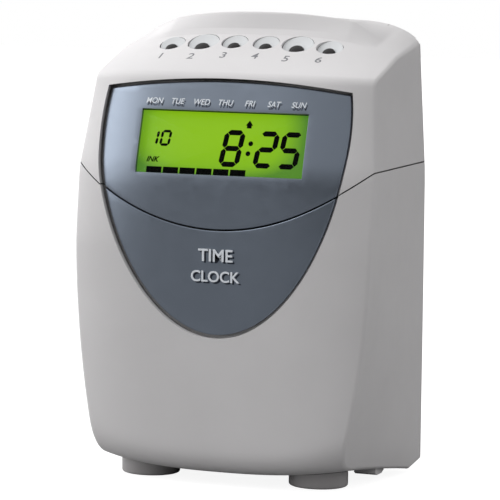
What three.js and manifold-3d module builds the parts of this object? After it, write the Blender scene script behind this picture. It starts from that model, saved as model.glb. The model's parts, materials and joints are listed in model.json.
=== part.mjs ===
// Punch time clock: a card time recorder with a bowed case, a hinged upper cover and a card printer.
// Millimetres; +Z up, front towards -Y. Heights below are measured in the case; the whole case is then
// lifted so that the plane its feet stand on lies at zero, with the origin under the middle of the case.
import * as THREE from "three";
import { mergeVertices } from "three/addons/utils/BufferGeometryUtils.js";
import Module from "manifold-3d";

const wasm = await Module();
wasm.setup();

// ---- driving dimensions -------------------------------------------------------------------------
const HALF_WIDTH = 82.3; // half of the case width at its widest
const FRONT_Y = -47.5; // middle of the bowed front
const EDGE_Y = -35; // upright edge between front and side
const REAR_Y = 47.5; // flat back
const WALL = 2.4; // moulded wall
const LIFT = 1; // the feet reach this far below the zero height of the case
const GAP = 0.3; // play between neighbours
const SEAM_GAP = 0.4; // half of the open line between cover and lower case
const SEAM_MID_Z = 133; // seam height in the middle of the front
const SEAM_RISE = 31.8; // how much higher it lies at the sides
const BEND_Z = 161; // above this the front leans back
const BACK_PLATE_Y = 45.7; // inner face of the back plate
const BACK_PLATE_TOP = 227;
const COVER_REAR_Y = 45.4; // the side walls end here, just before the back plate

const HOOD_FLAT = 50; // the hood is full height out to here
const HOOD_END = 66; // and has sunk into the top here

const PANEL_DEPTH = 2.4; // face of the metallic shield below the case surface
const PANEL_THICKNESS = 2;
const PANEL_RIM = 1.8; // dark gap around the shield

const WINDOW = { halfWidth: 46.2, halfHeight: 17, z: 177.4 };

const KEY_PITCH = 17.7;
const KEY_COUNT = 6;
const KEY_ROW_Y = 1;
const KEY_RADIUS = 6.9;
const WIDE_KEY_RADIUS = 8.35;
const KEY_BOARD_DEPTH = 17;
const KEY_SIDES = 20;

const SLOT = { halfWidth: 44.5, front: 25.5, rear: 32.5 }; // card slot in the hood
const CHUTE = { front: 26.4, rear: 31.4, bottom: 54, top: 225 };
const GUIDE_SHEET = 1;

const HINGE = { y: 43, z: 233.2, radius: 2.4, pinRadius: 1.2 };
const HINGE_EARS = [[24.5, 29.5], [41, 46]];
const HINGE_KNUCKLE = [30, 40.5];

const LOCK = { y: -10, z: 148, barrelRadius: 6.6, plugRadius: 4.4 };

const FRONT_FOOT = { x: 47.5, y: -17.5, radiusX: 15.7, radiusY: 14, rim: 0.8 };
const REAR_FOOT = { x: 44, y: 32, radius: 6 };

const PLATE_X = 64; // inner face of the chassis side plates
const PLATE = 1.5;
const FEED = { y: 20, z: 180, radius: 9, x: 26, length: 12 };
const PINCH = { y: 33.9, radius: 4.6, shaftRadius: 0.9 };
const GEAR = { teeth: 30, pinionTeeth: 12, module: 1, x0: 67, x1: 71.5 };
const MOTOR_ANGLE = THREE.MathUtils.degToRad(215); // from the feed shaft to the motor
const ROD = { y: 3, z: 136, radius: 2.5 };
const SPIRAL = { y: 3, z: 119, radius: 4, endRadius: 2.5 };

// ---- materials ----------------------------------------------------------------------------------
const look = (color, roughness, metalness) => ({ color, roughness, metalness });
const CASE_GREY = look(0xd3d2d3, 0.55, 0);
const KEY_GREY = look(0xcad0d2, 0.45, 0);
const FOOT_GREY = look(0x8b888c, 0.3, 0);
const SHIELD = look(0x7a818c, 0.35, 0.7);
const LENS_DARK = look(0x2c292c, 0.1, 0);
const CLEAR = look(0xbfd9b0, 0.05, 0);
const DISPLAY_GREEN = look(0x8fc31f, 0.3, 0);
const BACKLIGHT = look(0xe6ecd8, 0.4, 0);
const BOARD = look(0x1f6b3a, 0.5, 0);
const STEEL = look(0xb8babd, 0.3, 1);
const SHEET = look(0xa7abae, 0.4, 1);
const RUBBER = look(0x2b2b2c, 0.8, 0);
const BLACK = look(0x222326, 0.5, 0);
const NYLON = look(0xe9e6dc, 0.5, 0);
const BRASS = look(0xc2a45a, 0.35, 1);

// ---- solids -------------------------------------------------------------------------------------
function fromIndexed(geometry) {
  return new wasm.Manifold(
    new wasm.Mesh({
      numProp: 3,
      vertProperties: new Float32Array(geometry.attributes.position.array),
      triVerts: new Uint32Array(geometry.index.array),
    }),
  );
}

function solid(geometry) {
  const bare = geometry.clone();
  bare.deleteAttribute("normal");
  bare.deleteAttribute("uv");
  return fromIndexed(mergeVertices(bare, 1e-4));
}

function toGeometry(body) {
  const mesh = body.getMesh();
  const geometry = new THREE.BufferGeometry();
  geometry.setAttribute("position", new THREE.BufferAttribute(new Float32Array(mesh.vertProperties), 3));
  geometry.setIndex(new THREE.BufferAttribute(new Uint32Array(mesh.triVerts), 1));
  geometry.computeVertexNormals();
  return geometry;
}

const join = (...bodies) => bodies.reduce((all, body) => all.add(body));
const cut = (body, ...tools) => tools.reduce((rest, tool) => rest.subtract(tool), body);
const common = (...bodies) => bodies.reduce((all, body) => all.intersect(body));

function placed(geometry, frame) {
  return solid(frame ? geometry.clone().applyMatrix4(frame) : geometry);
}

function box([x0, x1], [y0, y1], [z0, z1], frame) {
  const geometry = new THREE.BoxGeometry(x1 - x0, y1 - y0, z1 - z0);
  geometry.translate((x0 + x1) / 2, (y0 + y1) / 2, (z0 + z1) / 2);
  return placed(geometry, frame);
}

// A cylinder along one axis, from `from` to `to` on that axis; `at` holds its other two coordinates.
function rod(axis, radius, [from, to], at, segments = 20, frame) {
  const geometry = new THREE.CylinderGeometry(radius, radius, to - from, segments);
  const middle = (from + to) / 2;
  if (axis === "x") geometry.rotateZ(Math.PI / 2).translate(middle, at[0], at[1]);
  if (axis === "y") geometry.translate(at[0], middle, at[1]);
  if (axis === "z") geometry.rotateX(Math.PI / 2).translate(at[0], at[1], middle);
  return placed(geometry, frame);
}

// A prism with its outline in X and Z, running along Y.
function prismY(points, [y0, y1]) {
  const shape = new THREE.Shape(points);
  const geometry = new THREE.ExtrudeGeometry(shape, { depth: y1 - y0, bevelEnabled: false });
  geometry.rotateX(Math.PI / 2).translate(0, y1, 0);
  return solid(geometry);
}

// A prism with its outline in Y and Z, running along X.
function prismX(points, [x0, x1]) {
  const shape = new THREE.Shape(points);
  const geometry = new THREE.ExtrudeGeometry(shape, { depth: x1 - x0, bevelEnabled: false });
  geometry.rotateX(Math.PI / 2).rotateZ(Math.PI / 2).translate(x0, 0, 0);
  return solid(geometry);
}

// ---- outlines -----------------------------------------------------------------------------------
const clamp = THREE.MathUtils.clamp;
const mix = THREE.MathUtils.lerp;

// Moves a closed outline that runs clockwise inwards by `depth`, keeping its corners.
function offsetLoop(points, depth) {
  const count = points.length;
  const normal = (a, b) => {
    const d = new THREE.Vector2().subVectors(b, a).normalize();
    return new THREE.Vector2(d.y, -d.x);
  };
  return points.map((point, i) => {
    const before = normal(points[(i + count - 1) % count], point);
    const after = normal(point, points[(i + 1) % count]);
    const scale = depth / (1 + before.dot(after));
    const moved = point.clone();
    moved.addScaledVector(before, scale).addScaledVector(after, scale);
    return moved;
  });
}

// Rounds corner `i` of an outline with a short curve of steps + 1 points.
function roundCorner(points, i, radius, steps) {
  const corner = points[i];
  if (radius <= 0 || steps === 0) return [corner];
  const count = points.length;
  const back = new THREE.Vector2().subVectors(points[(i + count - 1) % count], corner);
  const ahead = new THREE.Vector2().subVectors(points[(i + 1) % count], corner);
  const turn = Math.PI - Math.acos(clamp(back.dot(ahead) / back.length() / ahead.length(), -1, 1));
  const reach = Math.min(radius * Math.tan(turn / 2), 0.45 * back.length(), 0.45 * ahead.length());
  const start = corner.clone().addScaledVector(back.normalize(), reach);
  const end = corner.clone().addScaledVector(ahead.normalize(), reach);
  return new THREE.QuadraticBezierCurve(start, corner, end).getPoints(steps);
}

// ---- case form ----------------------------------------------------------------------------------
// Half width of the case: straight between its front edge and its rear edge at each height.
function halfWidth(y, z) {
  const foot = Math.max(0, (130 - z) / 106);
  const front = HALF_WIDTH - 10.9 * foot ** 2 - 0.1 * clamp(z - 162, 0, 44);
  const rear = HALF_WIDTH - 0.055 * Math.max(0, z - 159);
  return mix(front, rear, clamp((y - EDGE_Y) / (REAR_Y - EDGE_Y), 0, 1));
}

const seamZ = (x) => SEAM_MID_Z + SEAM_RISE * (x / 82) ** 2;

// The case section at one distance from the middle, as corners (y, z) with a radius and a step count;
// `runs` holds how many points each side gets between its corners.
function sectionCorners(x) {
  const a = Math.abs(x);
  const bow = (a / 82) ** 4.5;
  const crown = (a / 78) ** 3;
  const reach = Math.min(1, a / HOOD_FLAT) ** 2;
  const hood = clamp((HOOD_END - a) / (HOOD_END - HOOD_FLAT), 0, 1);
  const footY = mix(8.5, 11, crown);
  const footZ = mix(231.3, 221.8, crown);
  const rearZ = mix(239, 228.5, (a / 78) ** 7);
  const topZ = (y) => mix(footZ, rearZ, (y - footY) / (REAR_Y - footY));
  const stepY = footY + 3.3;
  const ridgeY = stepY + 3.7 + 5 * reach;
  const frontY = mix(FRONT_Y, EDGE_Y, bow);
  return [
    { y: REAR_Y, z: 5, radius: 0, steps: 0, run: 0 },
    { y: REAR_Y - 12.5, z: 1, radius: 0, steps: 0, run: 1 },
    { y: mix(FRONT_Y, EDGE_Y - 5, bow), z: mix(5.8, 13, (a / 72) ** 2.5), radius: mix(14, 26, bow), steps: 4, run: 3 },
    { y: mix(FRONT_Y, EDGE_Y - 4.6, bow), z: 125, radius: 0, steps: 0, run: 1 },
    { y: frontY, z: mix(BEND_Z, BEND_Z + 2, bow), radius: 60, steps: 3, run: 1 },
    { y: mix(-31.6, -19.8, bow), z: mix(212.3, 211, crown), radius: 8, steps: 3, run: 1 },
    { y: footY, z: footZ, radius: 0, steps: 0, run: 0 },
    { y: stepY, z: topZ(stepY) + 2.45 * hood, radius: 0, steps: 0, run: 0 },
    { y: ridgeY, z: topZ(ridgeY) + (10.6 - 3.6 * reach) * hood, radius: 2.5, steps: 3, run: 1 },
    { y: REAR_Y, z: rearZ, radius: 0, steps: 0, run: 1 },
  ];
}

// The whole section as a clockwise loop, `depth` below the case surface.
function section(x, depth, openRear) {
  const corners = sectionCorners(x);
  const loop = offsetLoop(corners.map((c) => new THREE.Vector2(c.y, c.z)), depth);
  if (openRear) {
    loop[0].x = REAR_Y + 8;
    loop[loop.length - 1].x = REAR_Y + 8;
  }
  const rounded = corners.map((c, i) => roundCorner(loop, i, Math.max(c.radius - depth, 1), c.steps));
  return rounded.flatMap((points, i) => {
    const start = points[points.length - 1];
    const end = rounded[(i + 1) % rounded.length][0];
    const between = [];
    for (let k = 1; k <= corners[i].run; k++) between.push(start.clone().lerp(end, k / (corners[i].run + 1)));
    return [...points, ...between];
  });
}

const STATIONS = [14, 28, 40, HOOD_FLAT, 58, HOOD_END, 73, 78, 84];
const COLUMNS = [...STATIONS.map((x) => -x).reverse(), 0, ...STATIONS];

// Skins a row of equal loops into one closed solid; loops are lists of Vector3.
function skin(loops) {
  const count = loops[0].length;
  const index = [];
  for (let j = 0; j + 1 < loops.length; j++) {
    for (let i = 0; i < count; i++) {
      const a = j * count + i;
      const b = j * count + ((i + 1) % count);
      index.push(a, b + count, b, a, a + count, b + count);
    }
  }
  const points = loops.flat();
  const cap = (row, reverse) => {
    const hub = points.length;
    const middle = loops[row].reduce((sum, p) => sum.add(p), new THREE.Vector3()).divideScalar(count);
    points.push(middle);
    for (let i = 0; i < count; i++) {
      const edge = [row * count + i, row * count + ((i + 1) % count)];
      if (reverse) edge.reverse();
      index.push(hub, ...edge);
    }
  };
  cap(0, false);
  cap(loops.length - 1, true);
  const geometry = new THREE.BufferGeometry().setFromPoints(points);
  geometry.setIndex(index);
  return fromIndexed(geometry);
}

// The block between the two side walls, `depth` below them.
function sideBlock(depth) {
  const heights = [-10, 5, 24, 45, 66, 87, 108, 130, 159, 162, 260];
  const across = [-60, EDGE_Y, REAR_Y, 70];
  const columns = (side) => across.map((y) =>
    heights.map((z) => new THREE.Vector3(side * (halfWidth(y, z) - depth), y, z)));
  const points = [...columns(-1), ...columns(1)].flat();
  const rows = heights.length;
  const last = across.length - 1;
  const at = (right, i, k) => (right * across.length + i) * rows + k;
  const index = [];
  const quad = (a, b, c, d) => index.push(a, b, c, a, c, d);
  for (let i = 0; i < last; i++) {
    for (let k = 0; k + 1 < rows; k++) {
      quad(at(1, i, k), at(1, i + 1, k), at(1, i + 1, k + 1), at(1, i, k + 1));
      quad(at(0, i, k), at(0, i, k + 1), at(0, i + 1, k + 1), at(0, i + 1, k));
    }
    quad(at(0, i, 0), at(0, i + 1, 0), at(1, i + 1, 0), at(1, i, 0));
    quad(at(0, i, rows - 1), at(1, i, rows - 1), at(1, i + 1, rows - 1), at(0, i + 1, rows - 1));
  }
  for (let k = 0; k + 1 < rows; k++) {
    quad(at(0, 0, k), at(1, 0, k), at(1, 0, k + 1), at(0, 0, k + 1));
    quad(at(1, last, k), at(0, last, k), at(0, last, k + 1), at(1, last, k + 1));
  }
  const geometry = new THREE.BufferGeometry().setFromPoints(points);
  geometry.setIndex(index);
  return fromIndexed(geometry);
}

// The case form shrunk by `depth`; with openRear it runs out through the back.
const forms = new Map();
function caseForm(depth, openRear = false) {
  const key = depth + (openRear ? "open" : "");
  if (!forms.has(key)) {
    const loops = COLUMNS.map((x) => section(x, depth, openRear).map((p) => new THREE.Vector3(x, p.x, p.y)));
    forms.set(key, common(skin(loops), sideBlock(depth)));
  }
  return forms.get(key);
}

const layer = (from, to) => cut(caseForm(from), caseForm(to));

// ---- cutters shared by several pieces -----------------------------------------------------------
const FAR = 60;
function seamSide(above) {
  const edge = [];
  for (let x = -90; x <= 90; x += 9) {
    edge.push(new THREE.Vector2(x, seamZ(x) + (above ? SEAM_GAP : -SEAM_GAP)));
  }
  const level = above ? 300 : -20;
  edge.push(new THREE.Vector2(90, level), new THREE.Vector2(-90, level));
  return prismY(edge, [-FAR, FAR]);
}
const aboveSeam = seamSide(true);
const belowSeam = seamSide(false);

// The shield outline grown by `grow`, clockwise from its left top corner.
function shieldOutline(grow) {
  const corner = new THREE.Vector2(66.3, 203.3);
  const tip = new THREE.Vector2(0, 78.6);
  const right = new THREE.CubicBezierCurve(corner, new THREE.Vector2(76, 150), new THREE.Vector2(41.9, 78.6), tip);
  const mirror = (p) => new THREE.Vector2(-p.x, p.y);
  const top = new THREE.QuadraticBezierCurve(mirror(corner), new THREE.Vector2(0, 213.7), corner).getPoints(8);
  const side = right.getPoints(14).slice(1);
  const back = side.slice(0, -1).reverse().map(mirror);
  return offsetLoop([...top, ...side, ...back], -grow);
}
const shield = (grow) => prismY(shieldOutline(grow), [-FAR, 0]);

// Frames: the display lies on the leaning front, the keys stand on the sloping shelf.
const LEAN = Math.atan((-31.6 - FRONT_Y) / (212.3 - BEND_Z));
const SHELF = Math.atan((231.3 - 212.3) / (8.5 + 31.6));
function tilted(x, y, z, angle) {
  const group = new THREE.Group();
  group.position.set(x, y, z);
  group.rotation.x = angle;
  group.updateMatrix();
  return group;
}
const displayGroup = tilted(0, FRONT_Y + (WINDOW.z - BEND_Z) * Math.tan(LEAN), WINDOW.z, -LEAN);
const shelfZ = (x) => {
  const crown = (Math.abs(x) / 78) ** 3;
  const front = { y: -31.6, z: mix(212.3, 211, crown) };
  const rear = { y: mix(8.5, 11, crown), z: mix(231.3, 221.8, crown) };
  return mix(front.z, rear.z, (KEY_ROW_Y - front.y) / (rear.y - front.y));
};
const shelfGroup = tilted(0, KEY_ROW_Y, shelfZ(0), SHELF);

const keys = Array.from({ length: KEY_COUNT }, (_, i) => {
  const x = (i - (KEY_COUNT - 1) / 2) * KEY_PITCH;
  const wide = i === 1 || i === 4;
  const group = tilted(x, KEY_ROW_Y, shelfZ(x), SHELF);
  return { x, group, radius: wide ? WIDE_KEY_RADIUS : KEY_RADIUS, lens: wide ? 3.9 : 3.3, ahead: wide ? 3.7 : 2.8 };
});

// ---- assembly -----------------------------------------------------------------------------------
const group = new THREE.Group();
const base = new THREE.Group();
const cover = new THREE.Group();
group.add(base, cover);
base.name = "base";
cover.name = "cover";
base.position.z = LIFT;
cover.position.z = LIFT;

function add(parent, name, body, material) {
  const mesh = new THREE.Mesh(toGeometry(body), new THREE.MeshStandardMaterial(material));
  mesh.name = name;
  parent.add(mesh);
}

// ---- case shells --------------------------------------------------------------------------------
const shell = cut(caseForm(0), caseForm(WALL, true));
const recess = common(shield(PANEL_RIM), cut(caseForm(-5), caseForm(PANEL_DEPTH + PANEL_THICKNESS + GAP)));
const recessFloor = common(shield(PANEL_RIM + 3), layer(WALL - 0.4, 6.6));
const toRear = (y) => box([-90, 90], [-FAR, y], [-20, 300]);

function upperCover() {
  const lip = common(caseForm(0), box([-90, 90], [COVER_REAR_Y - 0.5, FAR], [BACK_PLATE_TOP + 2.8, 300]));
  const skirt = box([-SLOT.halfWidth - 2, SLOT.halfWidth + 2], [SLOT.front - 1.6, SLOT.rear + 1.6], [228.5, 250]);
  const strike = box([-79.6, -66.5], [-5.4, -3.4], [161.5, 178]);
  const posts = [-54, 54].flatMap((x) => [-17, 18].map((z) =>
    rod("y", 2.5, [7.6, 11.7], [x, z], 10, displayGroup.matrix)));
  const boardPosts = [-57, 57].map((x) =>
    rod("z", 3, [-KEY_BOARD_DEPTH + GAP, -5.5], [x, 0], 12, shelfGroup.matrix));
  const webs = [-1, 1].map((side) => {
    const span = HINGE_KNUCKLE.map((x) => side * x).sort((a, b) => a - b);
    const web = box(span, [HINGE.y - 2, HINGE.y + 2], [HINGE.z, HINGE.z + 5]);
    return join(web, rod("x", HINGE.radius, span, [HINGE.y, HINGE.z], 16));
  });
  const inside = common(caseForm(0), join(skirt, strike, ...posts, ...boardPosts));
  const wall = common(shell, toRear(COVER_REAR_Y));
  const behindLip = box([-90, 90], [COVER_REAR_Y, FAR], [-20, BACK_PLATE_TOP + 2.8]);
  const ears = [-1, 1].flatMap((side) => HINGE_EARS.map((ear) => {
    const span = ear.map((x) => side * x).sort((a, b) => a - b);
    return box([span[0] - 0.6, span[1] + 0.6], [40, FAR], [220, HINGE.z + 2.9]);
  }));
  const slot = box([-SLOT.halfWidth, SLOT.halfWidth], [SLOT.front, SLOT.rear], [200, 260]);
  const floorWindow = box([-48.5, 48.5], [-20, 9], [-18.4, 18.4], displayGroup.matrix);
  const keyHoles = keys.map((key) => rod("z", key.radius + 0.45, [-8, 12], [0, 0], KEY_SIDES, key.group.matrix));
  const pins = [-1, 1].map((side) =>
    rod("x", HINGE.pinRadius + 0.1, side > 0 ? [20, 50] : [-50, -20], [HINGE.y, HINGE.z], 16));
  const whole = join(common(wall, aboveSeam), common(shell, box([-90, 90], [40, FAR], [236, 300])));
  const skinned = cut(join(whole, lip, common(recessFloor, aboveSeam), inside), behindLip, ...ears);
  return cut(join(skinned, ...webs), recess, slot, floorWindow, ...keyHoles, ...pins);
}

function lowerCase() {
  const bosses = caseScrews().map(({ x, z }) => {
    const wallSide = Math.sign(x) * 80.5;
    const rib = box([Math.min(x, wallSide), Math.max(x, wallSide)], [28, 41.2], [z - 1.5, z + 1.5]);
    return cut(join(rod("y", 4.8, [28, 41.2], [x, z]), rib), rod("y", 1.6, [30, 60], [x, z], 16));
  });
  const lockSeat = [
    rod("x", LOCK.barrelRadius + 0.2, [-90, -75], [LOCK.y, LOCK.z], 24),
    rod("x", LOCK.barrelRadius + 1.7, [-90, -81.1], [LOCK.y, LOCK.z], 24),
  ];
  const lipSpan = [-2, COVER_REAR_Y - 6];
  const lipBand = cut(caseForm(WALL - 0.8, true), caseForm(WALL + 1.4, true));
  const lip = common(lipBand, box([-90, -76], lipSpan, [157, 162.4]), belowSeam);
  const floor = common(recessFloor, belowSeam);
  const wall = common(shell, toRear(COVER_REAR_Y), belowSeam);
  const inside = common(join(...bosses), caseForm(0.5, true));
  const lugs = [[60, 72], [-72, -60]].map((span) => {
    const wedge = [[2.5, 3.4], [5, 2.2], [12, 2.2], [15.5, 3.4], [15.5, 6], [2.5, 6]];
    return prismX(wedge.map(([y, z]) => new THREE.Vector2(y, z)), span);
  });
  return cut(join(wall, floor, lip, inside, ...lugs), recess, ...lockSeat);
}

function caseScrews() {
  return [-1, 1].flatMap((side) => [22, 148].map((z) => ({ x: side * 73.5, z })));
}

function rearHousing() {
  const plate = common(caseForm(0), box([-90, 90], [BACK_PLATE_Y, FAR], [-20, BACK_PLATE_TOP]));
  const cups = caseScrews().map(({ x, z }) => rod("y", 4.6, [41.5, 46], [x, z]));
  const ribs = [-40, 0, 40].map((x) => box([x - 1, x + 1], [44, 46], [120, 215]));
  const ears = [-1, 1].flatMap((side) => HINGE_EARS.map((ear) => {
    const span = ear.map((x) => side * x).sort((a, b) => a - b);
    const knuckle = rod("x", HINGE.radius, span, [HINGE.y, HINGE.z], 16);
    const leg = box(span, [HINGE.y - 2.3, HINGE.y + 2.2], [223, HINGE.z]);
    const foot = box(span, [HINGE.y - 2.3, 46], [221, BACK_PLATE_TOP - 0.5]);
    return join(knuckle, leg, foot);
  }));
  const pins = [-1, 1].map((side) =>
    rod("x", HINGE.pinRadius + 0.05, side > 0 ? [20, 45.2] : [-45.2, -20], [HINGE.y, HINGE.z], 16));
  const screwHoles = caseScrews().flatMap(({ x, z }) => [
    rod("y", 3.5, [43, 60], [x, z]),
    rod("y", 1.9, [30, 60], [x, z], 16),
  ]);
  const vents = Array.from({ length: 7 }, (_, i) => box([-22, 22], [40, 60], [56 + i * 7, 58.6 + i * 7]));
  const inlet = box([-56, -32], [40, 60], [24, 40]);
  return cut(join(plate, ...cups, ...ribs, ...ears), ...pins, ...screwHoles, ...vents, inlet);
}

add(base, "rear_housing", rearHousing(), CASE_GREY);
add(base, "lower_case", lowerCase(), CASE_GREY);
add(cover, "upper_cover", upperCover(), CASE_GREY);

// ---- shield panels and display ------------------------------------------------------------------
const shieldSheet = common(layer(PANEL_DEPTH, PANEL_DEPTH + PANEL_THICKNESS), shield(0));
const windowHole = box(
  [-WINDOW.halfWidth, WINDOW.halfWidth],
  [-20, 20],
  [-WINDOW.halfHeight, WINDOW.halfHeight],
  displayGroup.matrix,
);
add(cover, "upper_panel", cut(common(shieldSheet, aboveSeam), windowHole), SHIELD);
add(base, "lower_panel", common(shieldSheet, belowSeam), SHIELD);

cover.add(displayGroup);
const display = (name, halfX, halfZ, span, material) =>
  add(displayGroup, name, box([-halfX, halfX], span, [-halfZ, halfZ]), material);
display("display_window", WINDOW.halfWidth - GAP, WINDOW.halfHeight - GAP, [3.6, 5.5], CLEAR);
display("lcd_panel", 47.8, 16.2, [6.5, 8.1], DISPLAY_GREEN);
display("lcd_backlight", 47.4, 16.2, [8.4, 11.4], BACKLIGHT);
const displayChips = [[-30, -12], [5, 25]].map((span) => box(span, [13, 15], [-8, 6]));
add(displayGroup, "display_board", join(box([-59, 59], [12, 13.6], [-19.5, 21]), ...displayChips), BOARD);

// ---- keys ---------------------------------------------------------------------------------------
cover.add(shelfGroup);
const SWITCH_TOP = -KEY_BOARD_DEPTH + 3;
const switches = keys.map((key) => box([key.x - 3, key.x + 3], [-3, 3], [-KEY_BOARD_DEPTH - 0.5, SWITCH_TOP]));
const keySheet = box([-60, 60], [-8, 8], [-KEY_BOARD_DEPTH - 1.6, -KEY_BOARD_DEPTH]);
add(shelfGroup, "key_board", join(keySheet, ...switches), BOARD);

// A round cap flush with the shelf at its back and sunk at its front, on a stem that meets its switch.
function keyCap(key) {
  const { radius, lens, ahead } = key;
  const drop = (shelfZ(0) - shelfZ(key.x)) * Math.cos(SHELF);
  const stemEnd = SWITCH_TOP + drop + 1.8;
  const cap = rod("z", radius, [-6.4, 1], [0, 0], KEY_SIDES);
  const flange = rod("z", radius + 0.95, [-6.4, -4.8], [0, 0], KEY_SIDES);
  const stem = rod("z", 2.6, [stemEnd, -6], [0, 0], 12);
  const above = [
    new THREE.Vector2(-radius - 2, capTop(key, -radius - 2)),
    new THREE.Vector2(radius + 2, capTop(key, radius + 2)),
    new THREE.Vector2(radius + 2, 9),
    new THREE.Vector2(-radius - 2, 9),
  ];
  const bore = rod("z", lens + 0.2, [-5.5, 9], [0, -ahead], 16);
  return cut(join(cap, flange, stem), prismX(above, [-12, 12]), bore);
}

const capTop = (key, y) => mix(-3, -0.2, (y + key.radius) / (2 * key.radius));

keys.forEach((key, i) => {
  cover.add(key.group);
  add(key.group, `key_${i + 1}`, keyCap(key), KEY_GREY);
  const top = capTop(key, -key.ahead) + 0.6;
  add(key.group, `key_lens_${i + 1}`, rod("z", key.lens, [-5.2, top], [0, -key.ahead], 16), LENS_DARK);
});

// ---- feet ---------------------------------------------------------------------------------------
function frontFoot(side) {
  const { x, y, radiusX, radiusY, rim } = FRONT_FOOT;
  const ring = (inset, z) => new THREE.EllipseCurve(side * x, y, radiusX - inset, radiusY - inset)
    .getPoints(28).slice(0, -1).map((p) => new THREE.Vector3(p.x, p.y, z)).reverse();
  return cut(skin([ring(rim, -LIFT), ring(0, -LIFT + rim), ring(0, 14)]), caseForm(-GAP));
}
function rearFoot(side) {
  const pad = rod("z", REAR_FOOT.radius, [-LIFT, 8], [side * REAR_FOOT.x, REAR_FOOT.y], 24);
  return cut(pad, caseForm(-GAP));
}
for (const [word, side] of [["left", -1], ["right", 1]]) {
  add(base, `front_foot_${word}`, frontFoot(side), FOOT_GREY);
  add(base, `rear_foot_${word}`, rearFoot(side), FOOT_GREY);
  const span = side > 0 ? [24.8, 45] : [-45, -24.8];
  add(base, `hinge_pin_${word}`, rod("x", HINGE.pinRadius, span, [HINGE.y, HINGE.z], 16), STEEL);
}
caseScrews().forEach(({ x, z }, i) => {
  const head = cut(rod("y", 3.2, [43.3, 45.3], [x, z]), box([x - 2.4, x + 2.4], [44.5, 50], [z - 0.4, z + 0.4]));
  add(base, `case_screw_${i + 1}`, join(head, rod("y", 1.5, [32, 43.5], [x, z], 16)), STEEL);
});

// ---- cover lock ---------------------------------------------------------------------------------
const lockAt = [LOCK.y, LOCK.z];
const barrel = join(
  rod("x", LOCK.barrelRadius, [-82.2, -70], lockAt, 24),
  rod("x", LOCK.barrelRadius + 1.4, [-82.9, -81.4], lockAt, 24),
);
add(base, "lock_barrel", cut(barrel, rod("x", LOCK.plugRadius + 0.1, [-90, -60], lockAt, 24)), STEEL);
const keyway = box([-90, -79], [LOCK.y - 2.6, LOCK.y + 2.6], [LOCK.z - 0.6, LOCK.z + 0.6]);
add(base, "lock_plug", cut(rod("x", LOCK.plugRadius, [-82.6, -66.8], lockAt, 24), keyway), BRASS);
const camArm = join(
  rod("x", 6, [-69.6, -68], lockAt, 24),
  box([-69.6, -68], [LOCK.y - 20, LOCK.y], [LOCK.z - 4, LOCK.z + 4]),
);
add(base, "lock_cam", cut(camArm, rod("x", LOCK.plugRadius + 0.1, [-90, -60], lockAt, 24)), STEEL);

// ---- chassis and card chute ---------------------------------------------------------------------
const motorAt = [
  FEED.y + (GEAR.teeth + GEAR.pinionTeeth + 0.2) / 2 * GEAR.module * Math.cos(MOTOR_ANGLE),
  FEED.z + (GEAR.teeth + GEAR.pinionTeeth + 0.2) / 2 * GEAR.module * Math.sin(MOTOR_ANGLE),
];
const shaftHoles = [
  rod("x", 3.1, [-80, 80], [FEED.y, FEED.z]),
  rod("x", PINCH.shaftRadius + 0.1, [-80, 80], [PINCH.y, FEED.z], 12),
  rod("x", ROD.radius + 0.1, [-80, 80], [ROD.y, ROD.z]),
  rod("x", SPIRAL.endRadius + 0.1, [-80, 80], [SPIRAL.y, SPIRAL.z]),
  rod("x", 2, [60, 80], motorAt, 16),
];
const channel = cut(
  box([-PLATE_X - PLATE, PLATE_X + PLATE], [-6, 43.6], [60, 200]),
  box([-PLATE_X, PLATE_X], [-20, 43.6 - PLATE], [50, 210]),
  box([-52, 52], [40, 50], [70, 190]),
);
add(base, "chassis", cut(channel, ...shaftHoles), SHEET);

const rollerWindows = (half) => [-1, 1].map((side) =>
  box([side * FEED.x - 7.2, side * FEED.x + 7.2], [20, 40], [FEED.z - half, FEED.z + half]));
const frontGuide = box([-50, 50], [CHUTE.front - GUIDE_SHEET, CHUTE.front], [CHUTE.bottom - 2, CHUTE.top]);
const printWindow = box([-44, 44], [20, 28], [124, 138]);
add(base, "card_guide_front", cut(frontGuide, printWindow, ...rollerWindows(9)), SHEET);
const rearGuide = cut(
  box([-46, 46], [CHUTE.front + GAP, CHUTE.rear + GUIDE_SHEET], [CHUTE.bottom - 2, CHUTE.top]),
  box([-44.6, 44.6], [0, CHUTE.rear], [CHUTE.bottom, 300]),
  box([-42.8, 42.8], [20, 40], [126, 136]),
);
add(base, "card_guide_rear", cut(rearGuide, ...rollerWindows(5.4)), SHEET);
add(base, "platen_bar", box([-42.5, 42.5], [CHUTE.rear - 0.3, 38], [126.3, 135.7]), RUBBER);

// ---- card feed ----------------------------------------------------------------------------------
// A spur gear about X with straight-sided teeth; `phase` is the direction of its first tooth.
function gear(teeth, at, phase, span, bore) {
  const pitch = (teeth * GEAR.module) / 2;
  const outline = [];
  const profile = [[-0.27, -1.15], [-0.1, 0.75], [0.1, 0.75], [0.27, -1.15]];
  for (let i = 0; i < teeth; i++) {
    for (const [share, height] of profile) {
      const angle = phase + ((i + share) * 2 * Math.PI) / teeth;
      const radius = pitch + height * GEAR.module;
      outline.push(new THREE.Vector2(at[0] + radius * Math.cos(angle), at[1] + radius * Math.sin(angle)));
    }
  }
  const body = prismX(outline, span);
  return bore > 0 ? cut(body, rod("x", bore, [span[0] - 1, span[1] + 1], at)) : body;
}
const feedAt = [FEED.y, FEED.z];
const pinchAt = [PINCH.y, FEED.z];
const gearSpan = [GEAR.x0, GEAR.x1];
add(base, "feed_shaft", rod("x", 3, [-66.5, 73], feedAt), STEEL);
add(base, "feed_gear", gear(GEAR.teeth, feedAt, MOTOR_ANGLE, gearSpan, 3.1), NYLON);
const pinionPhase = MOTOR_ANGLE + Math.PI + Math.PI / GEAR.pinionTeeth;
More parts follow.
